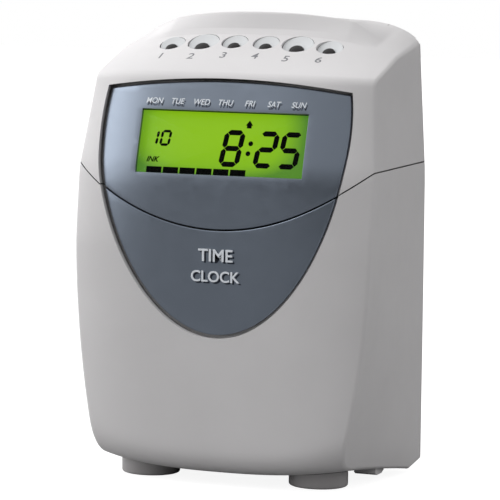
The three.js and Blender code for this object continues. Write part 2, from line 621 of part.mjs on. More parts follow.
const pinion = gear(GEAR.pinionTeeth, motorAt, pinionPhase, gearSpan, 0);
add(base, "motor_pinion", join(pinion, rod("x", 1.8, [63.9, 67.5], motorAt, 16)), BRASS);
add(base, "pinch_shaft", rod("x", PINCH.shaftRadius, [-66, 66], pinchAt, 12), STEEL);
for (const [word, side] of [["left", -1], ["right", 1]]) {
  const span = [side * FEED.x - FEED.length / 2, side * FEED.x + FEED.length / 2];
  const roller = (radius, bore, at) => cut(rod("x", radius, span, at, 28), rod("x", bore, [-80, 80], at, 20));
  add(base, `feed_roller_${word}`, roller(FEED.radius, 3.1, feedAt), RUBBER);
  add(base, `pinch_roller_${word}`, roller(PINCH.radius, PINCH.shaftRadius + 0.1, pinchAt), NYLON);
}
add(base, "feed_motor", join(rod("x", 9, [44, 63.7], motorAt, 24), rod("x", 3, [41, 45], motorAt, 16)), STEEL);

// ---- printer ------------------------------------------------------------------------------------
const rodAt = [ROD.y, ROD.z];
const spiralAt = [SPIRAL.y, SPIRAL.z];
add(base, "guide_rod", rod("x", ROD.radius, [-66.5, 66.5], rodAt), STEEL);
const spiral = join(rod("x", SPIRAL.radius, [-62, 62], spiralAt), rod("x", SPIRAL.endRadius, [-66, 67], spiralAt));
add(base, "spiral_shaft", spiral, STEEL);
add(base, "carriage_motor", rod("x", 11, [-78.5, -66.4], spiralAt, 28), STEEL);
const carriageBlock = box([-12, 12], [-3, 9], [112, 142]);
const carriageBores = [
  rod("x", ROD.radius + 0.1, [-20, 20], rodAt),
  rod("x", SPIRAL.radius + 0.1, [-20, 20], spiralAt),
];
add(base, "carriage", cut(carriageBlock, ...carriageBores), BLACK);
const fins = Array.from({ length: 4 }, (_, i) => box([-9, 9], [11 + i * 2, 12 + i * 2], [121.5, 140.5]));
add(base, "print_head", join(box([-7, 7], [9.3, 19], [123, 139]), box([-3.5, 3.5], [18, 23.9], [126, 136]), ...fins), BLACK);
const arms = [[-50, -41], [41, 50]].map((span) => box(span, [15, 24.6], [125, 145]));
add(base, "ribbon_cassette", join(box([-50, 50], [-3, 23], [144, 156]), ...arms), BLACK);
add(base, "ribbon_band", box([-40.7, 40.7], [24.1, 24.4], [127, 135]), BLACK);
const knobAt = [34, 9];
const grip = box([knobAt[0] - 1.2, knobAt[0] + 1.2], [knobAt[1] - 5, knobAt[1] + 5], [158, 162]);
add(base, "ribbon_knob", join(rod("z", 6, [156.3, 159], knobAt, 16), grip), NYLON);

// ---- electrics ----------------------------------------------------------------------------------
const boardChips = [[[-40, -22], [88, 106]], [[-8, 10], [70, 80]], [[24, 34], [92, 112]]].map(([spanX, spanZ]) =>
  box(spanX, [-29.5, -26.5], spanZ));
add(base, "main_board", join(box([-58, 58], [-27, -25.4], [56, 120]), ...boardChips), BOARD);
add(base, "backup_battery", rod("x", 7, [18, 50], [-18, 68], 24), DISPLAY_GREEN);
const core = box([-58, -24], [-14, 14], [16, 46]);
const coil = box([-52, -30], [-20, 20], [19.5, 42.5]);
add(base, "power_transformer", join(core, coil), STEEL);
const socket = cut(box([-55.7, -32.3], [30, 47.2], [24.3, 39.7]), box([-53, -35], [37, 60], [27, 37]));
const prongs = [-48, -40].map((x) => rod("y", 1.2, [36.5, 44], [x, 32], 12));
add(base, "power_inlet", join(socket, ...prongs), BLACK);

export default group;
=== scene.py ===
"""Punch time clock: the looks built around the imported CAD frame."""
import json
import math

import bmesh
import bpy
import numpy as np
from mathutils import Matrix, Vector
from mathutils.geometry import delaunay_2d_cdt

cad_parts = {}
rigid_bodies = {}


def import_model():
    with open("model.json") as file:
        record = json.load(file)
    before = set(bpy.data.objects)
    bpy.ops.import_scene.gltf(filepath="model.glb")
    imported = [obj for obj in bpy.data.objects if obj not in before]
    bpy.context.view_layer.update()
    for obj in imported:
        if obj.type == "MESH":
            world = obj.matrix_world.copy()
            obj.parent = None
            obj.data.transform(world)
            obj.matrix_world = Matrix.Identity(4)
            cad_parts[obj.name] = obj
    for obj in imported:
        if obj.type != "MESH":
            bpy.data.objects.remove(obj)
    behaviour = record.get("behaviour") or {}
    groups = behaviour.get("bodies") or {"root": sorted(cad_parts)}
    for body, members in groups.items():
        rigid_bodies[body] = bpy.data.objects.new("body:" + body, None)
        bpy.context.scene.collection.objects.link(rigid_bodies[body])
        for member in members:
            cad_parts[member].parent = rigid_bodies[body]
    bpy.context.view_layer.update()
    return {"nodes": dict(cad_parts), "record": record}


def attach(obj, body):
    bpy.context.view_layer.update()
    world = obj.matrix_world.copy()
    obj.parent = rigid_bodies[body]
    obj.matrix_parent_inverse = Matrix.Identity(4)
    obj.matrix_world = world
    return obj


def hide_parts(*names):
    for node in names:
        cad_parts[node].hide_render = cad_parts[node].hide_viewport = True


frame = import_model()

# ---- driving dimensions, in millimetres in the case's own frame ----
MM = 0.001
LIFT = 1.0  # the case stands this far above its own zero height
HALF_WIDTH = 82.3
FRONT_Y, EDGE_Y, REAR_Y = -47.5, -35.0, 47.5
WALL = 2.4
SEAM_GAP = 0.4
BEND_Z = 161.0
BACK_PLATE_Y, BACK_PLATE_TOP, COVER_REAR_Y = 45.7, 227.0, 45.4
HOOD_FLAT, HOOD_END = 50.0, 66.0
PANEL_DEPTH, PANEL_THICKNESS, PANEL_RIM = 2.4, 2.0, 1.8
WINDOW_HALF_WIDTH, WINDOW_HALF_HEIGHT, WINDOW_Z = 46.2, 17.0, 177.4
KEY_PITCH, KEY_COUNT, KEY_ROW_Y = 17.7, 6, 1.0
KEY_RADIUS, WIDE_KEY_RADIUS = 6.9, 8.35
SLOT_HALF_WIDTH, SLOT_FRONT, SLOT_REAR = 44.5, 25.5, 32.5
HINGE_Y, HINGE_Z, HINGE_RADIUS, PIN_RADIUS = 43.0, 233.2, 2.4, 1.2
HINGE_EARS = ((24.5, 29.5), (41.0, 46.0))
HINGE_KNUCKLE = (30.0, 40.5)
LOCK_Y, LOCK_Z, BARREL_RADIUS = -10.0, 148.0, 6.6
CREASE_RADIUS = 1.6  # soft edge between the front and the side walls
BROW_Y, BROW_Z = -31.6, 212.3  # where the leaning front turns into the key shelf
SHELF_Y, SHELF_Z = 8.5, 231.3  # rear end of the key shelf at the middle
BOW_SPAN, BOW_POWER, CROWN_SPAN = 82.0, 4.5, 78.0
BEND_RADII = (14, 26)  # of the bend in the front, at the middle and at the side walls
SEAM_LOW, SEAM_RISE = 133.0, 31.8
LEAN = math.atan((BROW_Y - FRONT_Y) / (BROW_Z - BEND_Z))
SHELF = math.atan((SHELF_Z - BROW_Z) / (SHELF_Y - BROW_Y))


def mix(a, b, t):
    return a + (b - a) * t


# ---- case form ----
def half_width(y, z):
    """Half width of the case at each depth and height."""
    foot = np.maximum(0, (130 - z) / 106)
    front = HALF_WIDTH - 10.9 * foot**2 - 0.1 * np.clip(z - 162, 0, 44)
    rear = HALF_WIDTH - 0.055 * np.maximum(0, z - 159)
    return mix(front, rear, np.clip((y - EDGE_Y) / (REAR_Y - EDGE_Y), 0, 1))


def seam_z(x):
    """Height of the seam between cover and case, lowest at the middle."""
    return SEAM_LOW + SEAM_RISE * (x / BOW_SPAN) ** 2


def bow(x):
    """How far the front has bent back towards the side walls, from 0 at the middle to 1."""
    return (np.abs(x) / BOW_SPAN) ** BOW_POWER


def crown(x):
    """How far the key shelf has dropped towards the side walls, from 0 at the middle."""
    return (np.abs(x) / CROWN_SPAN) ** 3


def brow_z(x):
    return mix(BROW_Z, 211, crown(x))


def shelf_rear(x):
    """Depth and height of the rear end of the key shelf."""
    return mix(SHELF_Y, 11, crown(x)), mix(SHELF_Z, 221.8, crown(x))


# Radius and point counts of each corner of the section, in the order of section_corners().
CORNER_ROUND = ((1.2, 5, 3), (1.5, 4, 10), (None, 9, 22), (150, 6, 10), (60, 8, 12), (8, 8, 9),
                (0.5, 4, 1), (0.8, 5, 2), (1.8, 6, 8), (1.2, 5, 24))


def section_corners(x):
    """Corners (y, z) of the section at distances x from the middle, from the rear bottom on."""
    a = np.abs(x)
    bent = bow(a)
    reach = np.minimum(1, a / HOOD_FLAT) ** 2
    hood = np.clip((HOOD_END - a) / (HOOD_END - HOOD_FLAT), 0, 1)
    foot_y, foot_z = shelf_rear(a)
    rear_z = mix(239, 228.5, (a / CROWN_SPAN) ** 7)

    def top_z(y):
        return mix(foot_z, rear_z, (y - foot_y) / (REAR_Y - foot_y))

    step_y = foot_y + 3.3
    ridge_y = step_y + 3.7 + 5 * reach
    one = np.ones_like(a)
    corners = (
        (REAR_Y * one, 5 * one),
        ((REAR_Y - 12.5) * one, 1 * one),
        (mix(FRONT_Y, EDGE_Y - 5, bent), mix(5.8, 13, (a / 72) ** 2.5)),
        (mix(FRONT_Y, EDGE_Y - 4.6, bent), 125 * one),
        (mix(FRONT_Y, EDGE_Y, bent), mix(BEND_Z, BEND_Z + 2, bent)),
        (mix(BROW_Y, -19.8, bent), brow_z(a)),
        (foot_y, foot_z),
        (step_y, top_z(step_y) + 2.45 * hood),
        (ridge_y, top_z(ridge_y) + (10.6 - 3.6 * reach) * hood),
        (REAR_Y * one, rear_z),
    )
    loop = np.array([np.stack(c, -1) for c in corners])  # corner, x, (y, z)
    return loop.transpose(1, 0, 2)


def unit(v):
    return v / np.maximum(np.linalg.norm(v, axis=-1, keepdims=True), 1e-9)


def section(x, depth=0.0, open_rear=False):
    """The rounded section at each x as rows of points (y, z), `depth` below the surface."""
    x = np.atleast_1d(np.asarray(x, float))
    depth = np.broadcast_to(np.asarray(depth, float), x.shape)
    loop = section_corners(x)
    along = unit(np.roll(loop, -1, 1) - loop)
    out_after = np.stack((along[..., 1], -along[..., 0]), -1)
    out_before = np.roll(out_after, 1, 1)
    scale = depth[:, None, None] / (1 + (out_before * out_after).sum(-1, keepdims=True))
    loop = loop + (out_before + out_after) * scale
    if open_rear:
        loop[:, (0, -1), 0] = REAR_Y + 8
    rounded = []
    for i, (radius, steps, _) in enumerate(CORNER_ROUND):
        r = mix(*BEND_RADII, bow(x)) if radius is None else np.full_like(x, radius)
        r = np.maximum(r - depth, 0.5)[:, None]
        corner = loop[:, i]
        back = np.roll(loop, 1, 1)[:, i] - corner
        ahead = np.roll(loop, -1, 1)[:, i] - corner
        lb = np.linalg.norm(back, axis=-1, keepdims=True)
        la = np.linalg.norm(ahead, axis=-1, keepdims=True)
        cosine = np.clip((back * ahead).sum(-1, keepdims=True) / lb / la, -1, 1)
        reach = np.maximum(r * np.tan((np.pi - np.arccos(cosine)) / 2), 0.5)
        reach = np.minimum(reach, 0.45 * np.minimum(lb, la))
        start, end = corner + back / lb * reach, corner + ahead / la * reach
        t = np.linspace(0, 1, steps + 1)[None, :, None]
        ends = (1 - t) ** 2 * start[:, None] + t**2 * end[:, None]
        rounded.append(ends + 2 * t * (1 - t) * corner[:, None])
    rows = []
    for i, (_, _, run) in enumerate(CORNER_ROUND):
        start, end = rounded[i][:, -1], rounded[(i + 1) % len(rounded)][:, 0]
        t = (np.arange(1, run + 1) / (run + 1))[None, :, None]
        rows += [rounded[i], start[:, None] * (1 - t) + end[:, None] * t]
    return np.concatenate(rows, 1)


def form_points(depth, open_rear, radius):
    """Grid of points (column, loop, xyz) over the form, with a soft crease at the side walls."""
    edge = 5.0  # width of the band beside each side wall that has closer columns
    coarse, fine = np.linspace(0, 0.58, 17), np.linspace(0.58, 0.95, 30)
    inner = np.concatenate((coarse, fine[1:], np.linspace(0.95, 1, 5)[1:]))
    near = np.array((0.72, 0.5, 0.36, 0.25, 0.16, 0.09, 0.045, 0.015, 0.0)) * edge
    share = np.concatenate((inner, np.ones(len(near))))
    inset = np.concatenate((np.full(len(inner), edge), near))
    count = section([0.0], depth, open_rear).shape[1]
    x = np.repeat((share * (HALF_WIDTH - edge))[:, None], count, 1)
    pick = np.tile(np.arange(count), len(share))
    away = np.clip(radius - inset, 0, radius)
    sink = depth + radius - np.sqrt(radius**2 - away**2)
    for _ in range(3):
        rows = section(x.ravel(), np.repeat(sink, count), open_rear)
        points = rows[np.arange(len(pick)), pick].reshape(len(share), count, 2)
        wall = half_width(points[..., 0], points[..., 1]) - depth
        x = share[:, None] * (wall - edge) + (edge - inset[:, None])
    grid = np.concatenate((x[..., None], points), -1)
    mirrored = grid[:0:-1] * np.array((-1, 1, 1))
    return np.concatenate((mirrored, grid), 0)


def mesh_object(name, vertices, faces, lift=True):
    """A mesh object from points in millimetres in the case's frame."""
    points = np.asarray(vertices, float) * MM
    if lift:
        points = points + np.array((0, 0, LIFT * MM))
    mesh = bpy.data.meshes.new(name)
    mesh.from_pydata(points.tolist(), [], faces)
    mesh.validate()
    obj = bpy.data.objects.new(name, mesh)
    bpy.context.scene.collection.objects.link(obj)
    return obj


def outward(obj, merge=0.0):
    """Turns the faces of a closed mesh to the outside, after merging points closer than `merge`."""
    work = bmesh.new()
    work.from_mesh(obj.data)
    if merge > 0:
        bmesh.ops.remove_doubles(work, verts=work.verts, dist=merge)
    bmesh.ops.recalc_face_normals(work, faces=work.faces)
    work.to_mesh(obj.data)
    work.free()
    return obj


def band(first, second, count):
    """Faces between two closed loops of `count` points that start at the given vertices."""
    pairs = [(i, (i + 1) % count) for i in range(count)]
    return [(first + i, first + n, second + n, second + i) for i, n in pairs]


def fan(first, hub, count):
    """Faces from a closed loop to one vertex."""
    return [(first + i, first + (i + 1) % count, hub) for i in range(count)]


def case_form(depth, open_rear=False, radius=0.0):
    """The case form shrunk by `depth`, closed; with open_rear it runs out through the back."""
    grid = form_points(depth, open_rear, radius)
    columns, count = grid.shape[:2]
    vertices = list(grid.reshape(-1, 3))
    faces = []
    for j in range(columns - 1):
        faces += band(j * count, (j + 1) * count, count)
    rings = 10  # on each side wall
    for row in (0, columns - 1):
        side = -1 if row == 0 else 1
        rim = grid[row][:, 1:]
        middle = rim.mean(0)
        last = row * count
        for k in range(1, rings):
            ring = middle + (rim - middle) * (1 - k / rings)
            wide = side * (half_width(ring[:, 0], ring[:, 1]) - depth)
            faces += band(last, len(vertices), count)
            last = len(vertices)
            vertices += list(np.column_stack((wide, ring)))
        faces += fan(last, len(vertices), count)
        vertices.append(np.array((side * (half_width(middle[0], middle[1]) - depth), *middle)))
    return outward(mesh_object("form", vertices, faces))


# ---- solids and booleans ----
def prism_faces(count, first=0):
    """Faces of a prism whose two ends are loops of `count` points, one after the other."""
    faces = [tuple(range(first, first + count))]
    faces.append(tuple(range(first + 2 * count - 1, first + count - 1, -1)))
    return faces + band(first, first + count, count)


def extrude(outline, span, place):
    """A prism: `outline` in two axes, `span` along the third; place(u, v, w) gives the point."""
    vertices = [place(u, v, w) for w in span for u, v in outline]
    return outward(mesh_object("prism", vertices, prism_faces(len(outline))))


def prism_y(outline, span):
    return extrude(outline, span, lambda u, v, w: (u, w, v))


def prism_x(outline, span):
    return extrude(outline, span, lambda u, v, w: (w, u, v))


def tilted(x, y, z, angle):
    """Frame turned about X by `angle`, with its origin at x, y, z of the case's frame."""
    return Matrix.Translation((x, y, z)) @ Matrix.Rotation(angle, 4, "X")


def moved(points, matrix):
    return [tuple(matrix @ Vector(p)) for p in points] if matrix else points


def box(x, y, z, matrix=None):
    corners = [(a, b, c) for a in x for b in y for c in z]
    faces = [(0, 1, 3, 2), (4, 6, 7, 5), (0, 4, 5, 1), (2, 3, 7, 6), (0, 2, 6, 4), (1, 5, 7, 3)]
    return outward(mesh_object("block", moved(corners, matrix), faces))


def rod(axis, radius, span, at, segments=48, matrix=None):
    """A cylinder along one axis; `at` holds its other two coordinates."""
    vertices = []
    for w in span:
        for k in range(segments):
            angle = 2 * math.pi * k / segments
            u, v = at[0] + radius * math.cos(angle), at[1] + radius * math.sin(angle)
            vertices.append({"x": (w, u, v), "y": (u, w, v), "z": (u, v, w)}[axis])
    return outward(mesh_object("rod", moved(vertices, matrix), prism_faces(segments)))


def boolean(target, tools, operation):
    """A new object: the target cut by, joined to or shared with each tool; the inputs stay."""
    result = bpy.data.objects.new("body", target.data.copy())
    bpy.context.scene.collection.objects.link(result)
    for tool in tools:
        step = result.modifiers.new("step", "BOOLEAN")
        step.operation = operation
        step.solver = "MANIFOLD"
        step.object = tool
    graph = bpy.context.evaluated_depsgraph_get()
    mesh = bpy.data.meshes.new_from_object(result.evaluated_get(graph))
    result.modifiers.clear()
    result.data = mesh
    return result


def cut(target, *tools):
    return boolean(target, tools, "DIFFERENCE")


def join(target, *tools):
    return boolean(target, tools, "UNION")


def common(target, *tools):
    return boolean(target, tools, "INTERSECT")


def remove_helpers():
    """Deletes every mesh object made on the way that isn't a finished piece."""
    helpers = ("form", "prism", "block", "rod", "body")
    for obj in list(bpy.context.scene.objects):
        if obj.type == "MESH" and obj.name.split(".")[0] in helpers:
            bpy.data.objects.remove(obj)


def finish_piece(obj, name, body, slot, replaces=(), ink=None, smooth=25.0):
    """Names a piece, gives it the finish of its slot or an ink, and puts it on its CAD body."""
    obj.name = name
    obj.data.name = name
    obj.data.materials.clear()
    obj.data.materials.append(materials[ink or slot])
    for polygon in obj.data.polygons:
        polygon.use_smooth = True
    obj.data.set_sharp_from_angle(angle=math.radians(smooth))
    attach(obj, body)
    if replaces:
        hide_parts(*replaces)
    return obj


def points_before(corner):
    """How many points of a section come before one of its corners."""
    return sum(steps + 1 + run for _, steps, run in CORNER_ROUND[:corner])


def on_surface(points, depth):
    """Depth coordinate Y of the leaning front at points (x, z), `depth` below the case surface."""
    points = np.asarray(points, float)
    rows = section(points[:, 0], depth)
    front = rows[:, points_before(3):points_before(6)]
    return np.array([np.interp(z, row[:, 1], row[:, 0]) for z, row in zip(points[:, 1], front)])


def on_shelf(points, depth):
    """Height Z of the key shelf at points (x, y)."""
    points = np.asarray(points, float)
    rows = section(points[:, 0], depth)
    shelf = rows[:, points_before(5):points_before(6) + 1]
    return np.array([np.interp(y, row[:, 0], row[:, 1]) for y, row in zip(points[:, 1], shelf)])


def bezier(points, count):
    """Points along a Bezier curve given by its control points."""
    t = np.linspace(0, 1, count)[:, None]
    level = [np.asarray(p, float) * np.ones_like(t) for p in points]
    while len(level) > 1:
        level = [a * (1 - t) + b * t for a, b in zip(level, level[1:])]
    return level[0]


def offset_loop(points, depth):
    """Moves a closed clockwise outline inwards by `depth`."""
    before = unit(points - np.roll(points, 1, 0))
    after = unit(np.roll(points, -1, 0) - points)
    normal_before = np.stack((before[:, 1], -before[:, 0]), -1)
    normal_after = np.stack((after[:, 1], -after[:, 0]), -1)
    scale = depth / (1 + (normal_before * normal_after).sum(-1, keepdims=True))
    return points + (normal_before + normal_after) * scale


SHIELD_CORNER, SHIELD_TIP_Z, SHIELD_TOP_Z = (66.3, 203.3), 78.6, 213.7


def shield_side():
    """Right edge of the shield from its top corner down to the tip."""
    return bezier((SHIELD_CORNER, (76, 150), (41.9, SHIELD_TIP_Z), (0, SHIELD_TIP_Z)), 90)


def shield_top():
    x, z = SHIELD_CORNER
    return bezier(((-x, z), (0, SHIELD_TOP_Z), (x, z)), 60)


def shield_outline(grow):
    side = shield_side()[1:]
    back = side[-2::-1] * (-1, 1)
    return offset_loop(np.concatenate((shield_top(), side, back)), -grow)


def shield(grow):
    return prism_y(shield_outline(grow), (-60, 0))


def shield_part(above):
    """Outline of the shield on one side of the seam."""
    side = shield_side()
    gap = SEAM_GAP if above else -SEAM_GAP
    clear = side[:, 1] - seam_z(side[:, 0]) - gap
    cross = int(np.argmax(clear < 0))
    share = clear[cross - 1] / (clear[cross - 1] - clear[cross])
    meet = side[cross - 1] * (1 - share) + side[cross] * share
    x = np.linspace(meet[0], -meet[0], 110)
    seam = np.stack((x, seam_z(x) + gap), -1)
    if above:
        right = side[1:cross]
        return np.concatenate((shield_top(), right, seam, right[::-1] * (-1, 1)))
    right = side[cross:]
    return np.concatenate((seam[::-1], right, right[-2::-1] * (-1, 1)))


def inside(points, loop):
    """Which points lie inside a closed loop."""
    a, b = loop, np.roll(loop, -1, 0)
    x, y = points[:, None, 0], points[:, None, 1]
    spans = (a[:, 1] > y) != (b[:, 1] > y)
    drop = np.where(b[:, 1] == a[:, 1], 1e-9, b[:, 1] - a[:, 1])
    crossing = a[:, 0] + (y - a[:, 1]) * (b[:, 0] - a[:, 0]) / drop
    return (spans & (x < crossing)).sum(1) % 2 == 1


def plate(loops, rims, face, thickness, place, step=2.5):
    """A sheet with rounded rims: loops[0] is its outline, the rest are holes wound the other way.

    place(points, depth) gives xyz for outline points at a depth behind the face.
    """
    turns = np.linspace(0, math.pi / 2, 5)
    vertices, faces, inner, back = [], [], [], []
    for loop, rim in zip(loops, rims):
        rings = [(rim * (1 - math.sin(t)), rim * (1 - math.cos(t))) for t in turns]
        rings.append((0, thickness))
        first = len(vertices)
        count = len(loop)
        for inset, sink in rings:
            vertices += list(place(offset_loop(loop, inset), face + sink))
        for k in range(len(rings) - 1):
            faces += band(first + k * count, first + (k + 1) * count, count)
        inner.append((offset_loop(loop, rim), first))
        back.append((loop, first + (len(rings) - 1) * count))
    for group, sink in ((inner, 0), (back, thickness)):
        edge_points = np.concatenate([loop for loop, _ in group])
        index = [first + i for loop, first in group for i in range(len(loop))]
        outer = group[0][0]
        low, high = outer.min(0), outer.max(0)
        axes = [np.arange(low[k], high[k], step) for k in (0, 1)]
        grid = np.stack(np.meshgrid(*axes), -1).reshape(-1, 2)
        keep = inside(grid, outer)
        for loop, _ in group[1:]:
            keep &= ~inside(grid, loop)
        grid = grid[keep]
        distance = np.linalg.norm(grid[:, None] - edge_points[None], axis=-1).min(1)
        grid = grid[distance > 0.6 * step]
        index += list(range(len(vertices), len(vertices) + len(grid)))
        vertices += list(place(grid, face + sink))
        flat = np.concatenate((edge_points, grid))
        edges = []
        start = 0
        for loop, _ in group:
            edges += [(start + i, start + (i + 1) % len(loop)) for i in range(len(loop))]
            start += len(loop)
        result = delaunay_2d_cdt([Vector(p) for p in flat], edges, [], 0, 1e-6)
        origin = [source[0] for source in result[3]]
        triangles = np.array([[origin[i] for i in corners] for corners in result[2]])
        centre = flat[triangles].mean(1)
        keep = inside(centre, outer)
        for loop, _ in group[1:]:
            keep &= ~inside(centre, loop)
        faces += [tuple(index[i] for i in triangle) for triangle in triangles[keep]]
    return outward(mesh_object("plate", vertices, faces))


def body_of(name, rings, matrix=None):
    """A closed body through rings of points, with a fan at both ends."""
    count = len(rings[0])
    vertices = [p for ring in rings for p in ring]
    faces = []
    for k in range(len(rings) - 1):
        faces += band(k * count, (k + 1) * count, count)
    for row in (0, len(rings) - 1):
        faces += fan(row * count, len(vertices), count)
        vertices.append(np.mean(rings[row], 0))
    return outward(mesh_object(name, moved(vertices, matrix), faces))


# ---- materials ----
DRIFT_SCALE, RELIEF_DISTANCE = 28, 0.0002
WORN_FROM, WORN_TO = 0.53, 0.6  # pointiness where an edge begins to look worn, and where fully
GRAIN_TONE, WORN_TONE = (0.9, 0.9, 0.9, 1), (0.6, 0.6, 0.6, 1)


def feed(links, socket, value):
    """Gives a socket a fixed value, or links another node's output to it."""
    if isinstance(value, bpy.types.NodeSocket):
        links.new(value, socket)
    else:
        socket.default_value = value


def set_range(node, start, end, low, high):
    """Maps start..end of a range node to low..high."""
    for name, value in (("From Min", start), ("From Max", end), ("To Min", low), ("To Max", high)):
        node.inputs[name].default_value = value


def material(name, color, roughness, metallic=0.0, grain=2200, bump=0.05, mottle=0.05, wear=0.1,
             coat=0.0, stretch=(1, 1, 1), crevice_shade=0.0, shine=0.5):
    """A procedural finish: slow colour drift, fine grain, uneven gloss, relief, worn edges and,
    where asked, painted shade in crevices.
    """
    mat = bpy.data.materials.new(name)
    mat.use_nodes = True
    nodes, links = mat.node_tree.nodes, mat.node_tree.links
    shader = nodes["Principled BSDF"]
    shader.inputs["Metallic"].default_value = metallic
    shader.inputs["Coat Weight"].default_value = coat
    shader.inputs["Specular IOR Level"].default_value = shine
    where = nodes.new("ShaderNodeTexCoord")
    scale = nodes.new("ShaderNodeMapping")
    scale.inputs["Scale"].default_value = stretch
    links.new(where.outputs["Object"], scale.inputs["Vector"])

    def noise(size, detail):
        node = nodes.new("ShaderNodeTexNoise")
        node.inputs["Scale"].default_value = size
        node.inputs["Detail"].default_value = detail
        links.new(scale.outputs["Vector"], node.inputs["Vector"])
        return node.outputs["Fac"]

    def ranged(source, low, high, start=0.3, end=0.7):
        node = nodes.new("ShaderNodeMapRange")
        set_range(node, start, end, low, high)
        links.new(source, node.inputs["Value"])
        return node.outputs["Result"]

    def blended(mode, factor, base, top):
        node = nodes.new("ShaderNodeMix")
        node.data_type = "RGBA"
        node.blend_type = mode
        for socket, value in ((0, factor), (6, base), (7, top)):
            feed(links, node.inputs[socket], value)
        return node.outputs[2]

    drift = noise(DRIFT_SCALE, 3)
    fine = noise(grain, 1.5)
    dark = tuple(c * (1 - mottle) for c in color) + (1,)
    light = tuple(min(1, c * (1 + mottle)) for c in color) + (1,)
    tone = blended("MIX", ranged(drift, 0, 1), dark, light)
    tone = blended("MIX", ranged(fine, 0, mottle), tone, GRAIN_TONE)
    shape = nodes.new("ShaderNodeNewGeometry")
    edge = ranged(shape.outputs["Pointiness"], 0, wear, WORN_FROM, WORN_TO)
    tone = blended("SCREEN", edge, tone, WORN_TONE)
    # painted shade: multiplies the colour by ambient occlusion, darkening crevices and gaps where
    # shade falls
    if crevice_shade > 0:
        crevice_shade_node = nodes.new("ShaderNodeAmbientOcclusion")
        crevice_shade_node.inputs["Distance"].default_value = crevice_shade
        crevice_shade_node.samples = 6
        tone = blended("MULTIPLY", 1.0, tone, ranged(crevice_shade_node.outputs["AO"], 0.05, 1, 0.08, 0.5))
    links.new(tone, shader.inputs["Base Color"])
    gloss = ranged(noise(grain / 14, 3), roughness * 0.9, roughness * 1.12)
    links.new(gloss, shader.inputs["Roughness"])
    relief = nodes.new("ShaderNodeBump")
    relief.inputs["Strength"].default_value = bump
    relief.inputs["Distance"].default_value = RELIEF_DISTANCE
    links.new(fine, relief.inputs["Height"])
    links.new(relief.outputs["Normal"], shader.inputs["Normal"])
    return mat


def linear(red, green, blue):
    """Linear colour from display values 0 to 255."""
    return tuple((c / 255) ** 2.2 for c in (red, green, blue))


# Display colour, roughness and further arguments of material(), for each slot and each ink.
FINISHES = {
    # the case's colour gets painted shade in its crevices, seams and gaps
    "case_grey": ((209, 207, 208), 0.5, dict(grain=1900, bump=0.22, mottle=0.02, crevice_shade=0.006)),
    "key_grey": ((204, 206, 208), 0.4, dict(grain=2500, bump=0.08, mottle=0.02)),
    "foot_grey": ((168, 165, 166), 0.22, dict(bump=0.04, coat=0.4)),
    "shield_metal": ((128, 137, 150), 0.32,
                     dict(metallic=0.85, grain=2600, bump=0.006, mottle=0.012, wear=0.02)),
    "lens_dark": ((26, 23, 25), 0.12, dict(bump=0.01, mottle=0.01, wear=0, shine=0.25)),
    "circuit_green": ((28, 104, 58), 0.35, dict(grain=900, bump=0.15, coat=0.3)),
    "bright_steel": ((196, 198, 202), 0.24,
                     dict(metallic=1, grain=1500, bump=0.08, stretch=(0.1, 1, 1))),
    "sheet_steel": ((176, 180, 184), 0.36, dict(metallic=1, grain=700, bump=0.12, mottle=0.1)),
    "brass": ((202, 172, 104), 0.28, dict(metallic=1, grain=1300, bump=0.08)),
    "roller_rubber": ((44, 44, 46), 0.8, dict(grain=2600, bump=0.4)),
    "nylon": ((228, 224, 212), 0.45, dict(grain=1500, bump=0.08)),
    "black_plastic": ((40, 41, 44), 0.48, dict(grain=1800, bump=0.3)),
    "ribbon_fabric": ((30, 26, 44), 0.9, dict(grain=3800, bump=0.7)),
    "battery_sleeve": ((40, 132, 78), 0.3, dict(grain=900, bump=0.05, coat=0.5)),
    "light_guide": ((232, 238, 220), 0.3, dict(grain=900, bump=0.03)),
    "print_ink": ((112, 113, 117), 0.6, dict(bump=0.02, mottle=0.02, wear=0)),
    "print_white": ((226, 231, 238), 0.5, dict(bump=0.02, mottle=0.02, wear=0)),
    "print_shadow": ((48, 53, 64), 0.5, dict(bump=0.02, mottle=0.02, wear=0, shine=0.1)),
    "segment_ink": ((6, 10, 6), 0.6, dict(bump=0.01, mottle=0.004, wear=0, shine=0.02)),
}
materials = {}
for slot, (display_color, roughness, extra) in FINISHES.items():
    materials[slot] = material(slot, linear(*display_color), roughness, **extra)


def plain_base(shader, links, color):
    """Replaces a finish's colour pattern by one colour."""
    socket = shader.inputs["Base Color"]
    for link in list(socket.links):
        links.remove(link)
    socket.default_value = (*color, 1)


def window_material():
    """A thin clear sheet: see-through, with a faint reflection that grows at low angles."""
    mat = material("clear_lens", (0.9, 0.95, 0.9), 0.04, bump=0.01)
    nodes, links = mat.node_tree.nodes, mat.node_tree.links
    clear = nodes.new("ShaderNodeBsdfTransparent")
    facing = nodes.new("ShaderNodeFresnel")
    facing.inputs["IOR"].default_value = 1.15
    shader = nodes["Principled BSDF"]
    plain_base(shader, links, (0.01, 0.01, 0.01))
    shape = nodes.new("ShaderNodeNewGeometry")
    outer = nodes.new("ShaderNodeMix")  # only the outer side of a face reflects
    links.new(shape.outputs["Backfacing"], outer.inputs["Factor"])
    links.new(facing.outputs["Fac"], outer.inputs["A"])
    outer.inputs["B"].default_value = 0.0
    mixer = nodes.new("ShaderNodeMixShader")
    links.new(outer.outputs["Result"], mixer.inputs["Fac"])
    links.new(clear.outputs["BSDF"], mixer.inputs[1])
    links.new(shader.outputs["BSDF"], mixer.inputs[2])
    links.new(mixer.outputs["Shader"], nodes["Material Output"].inputs["Surface"])
    return mat


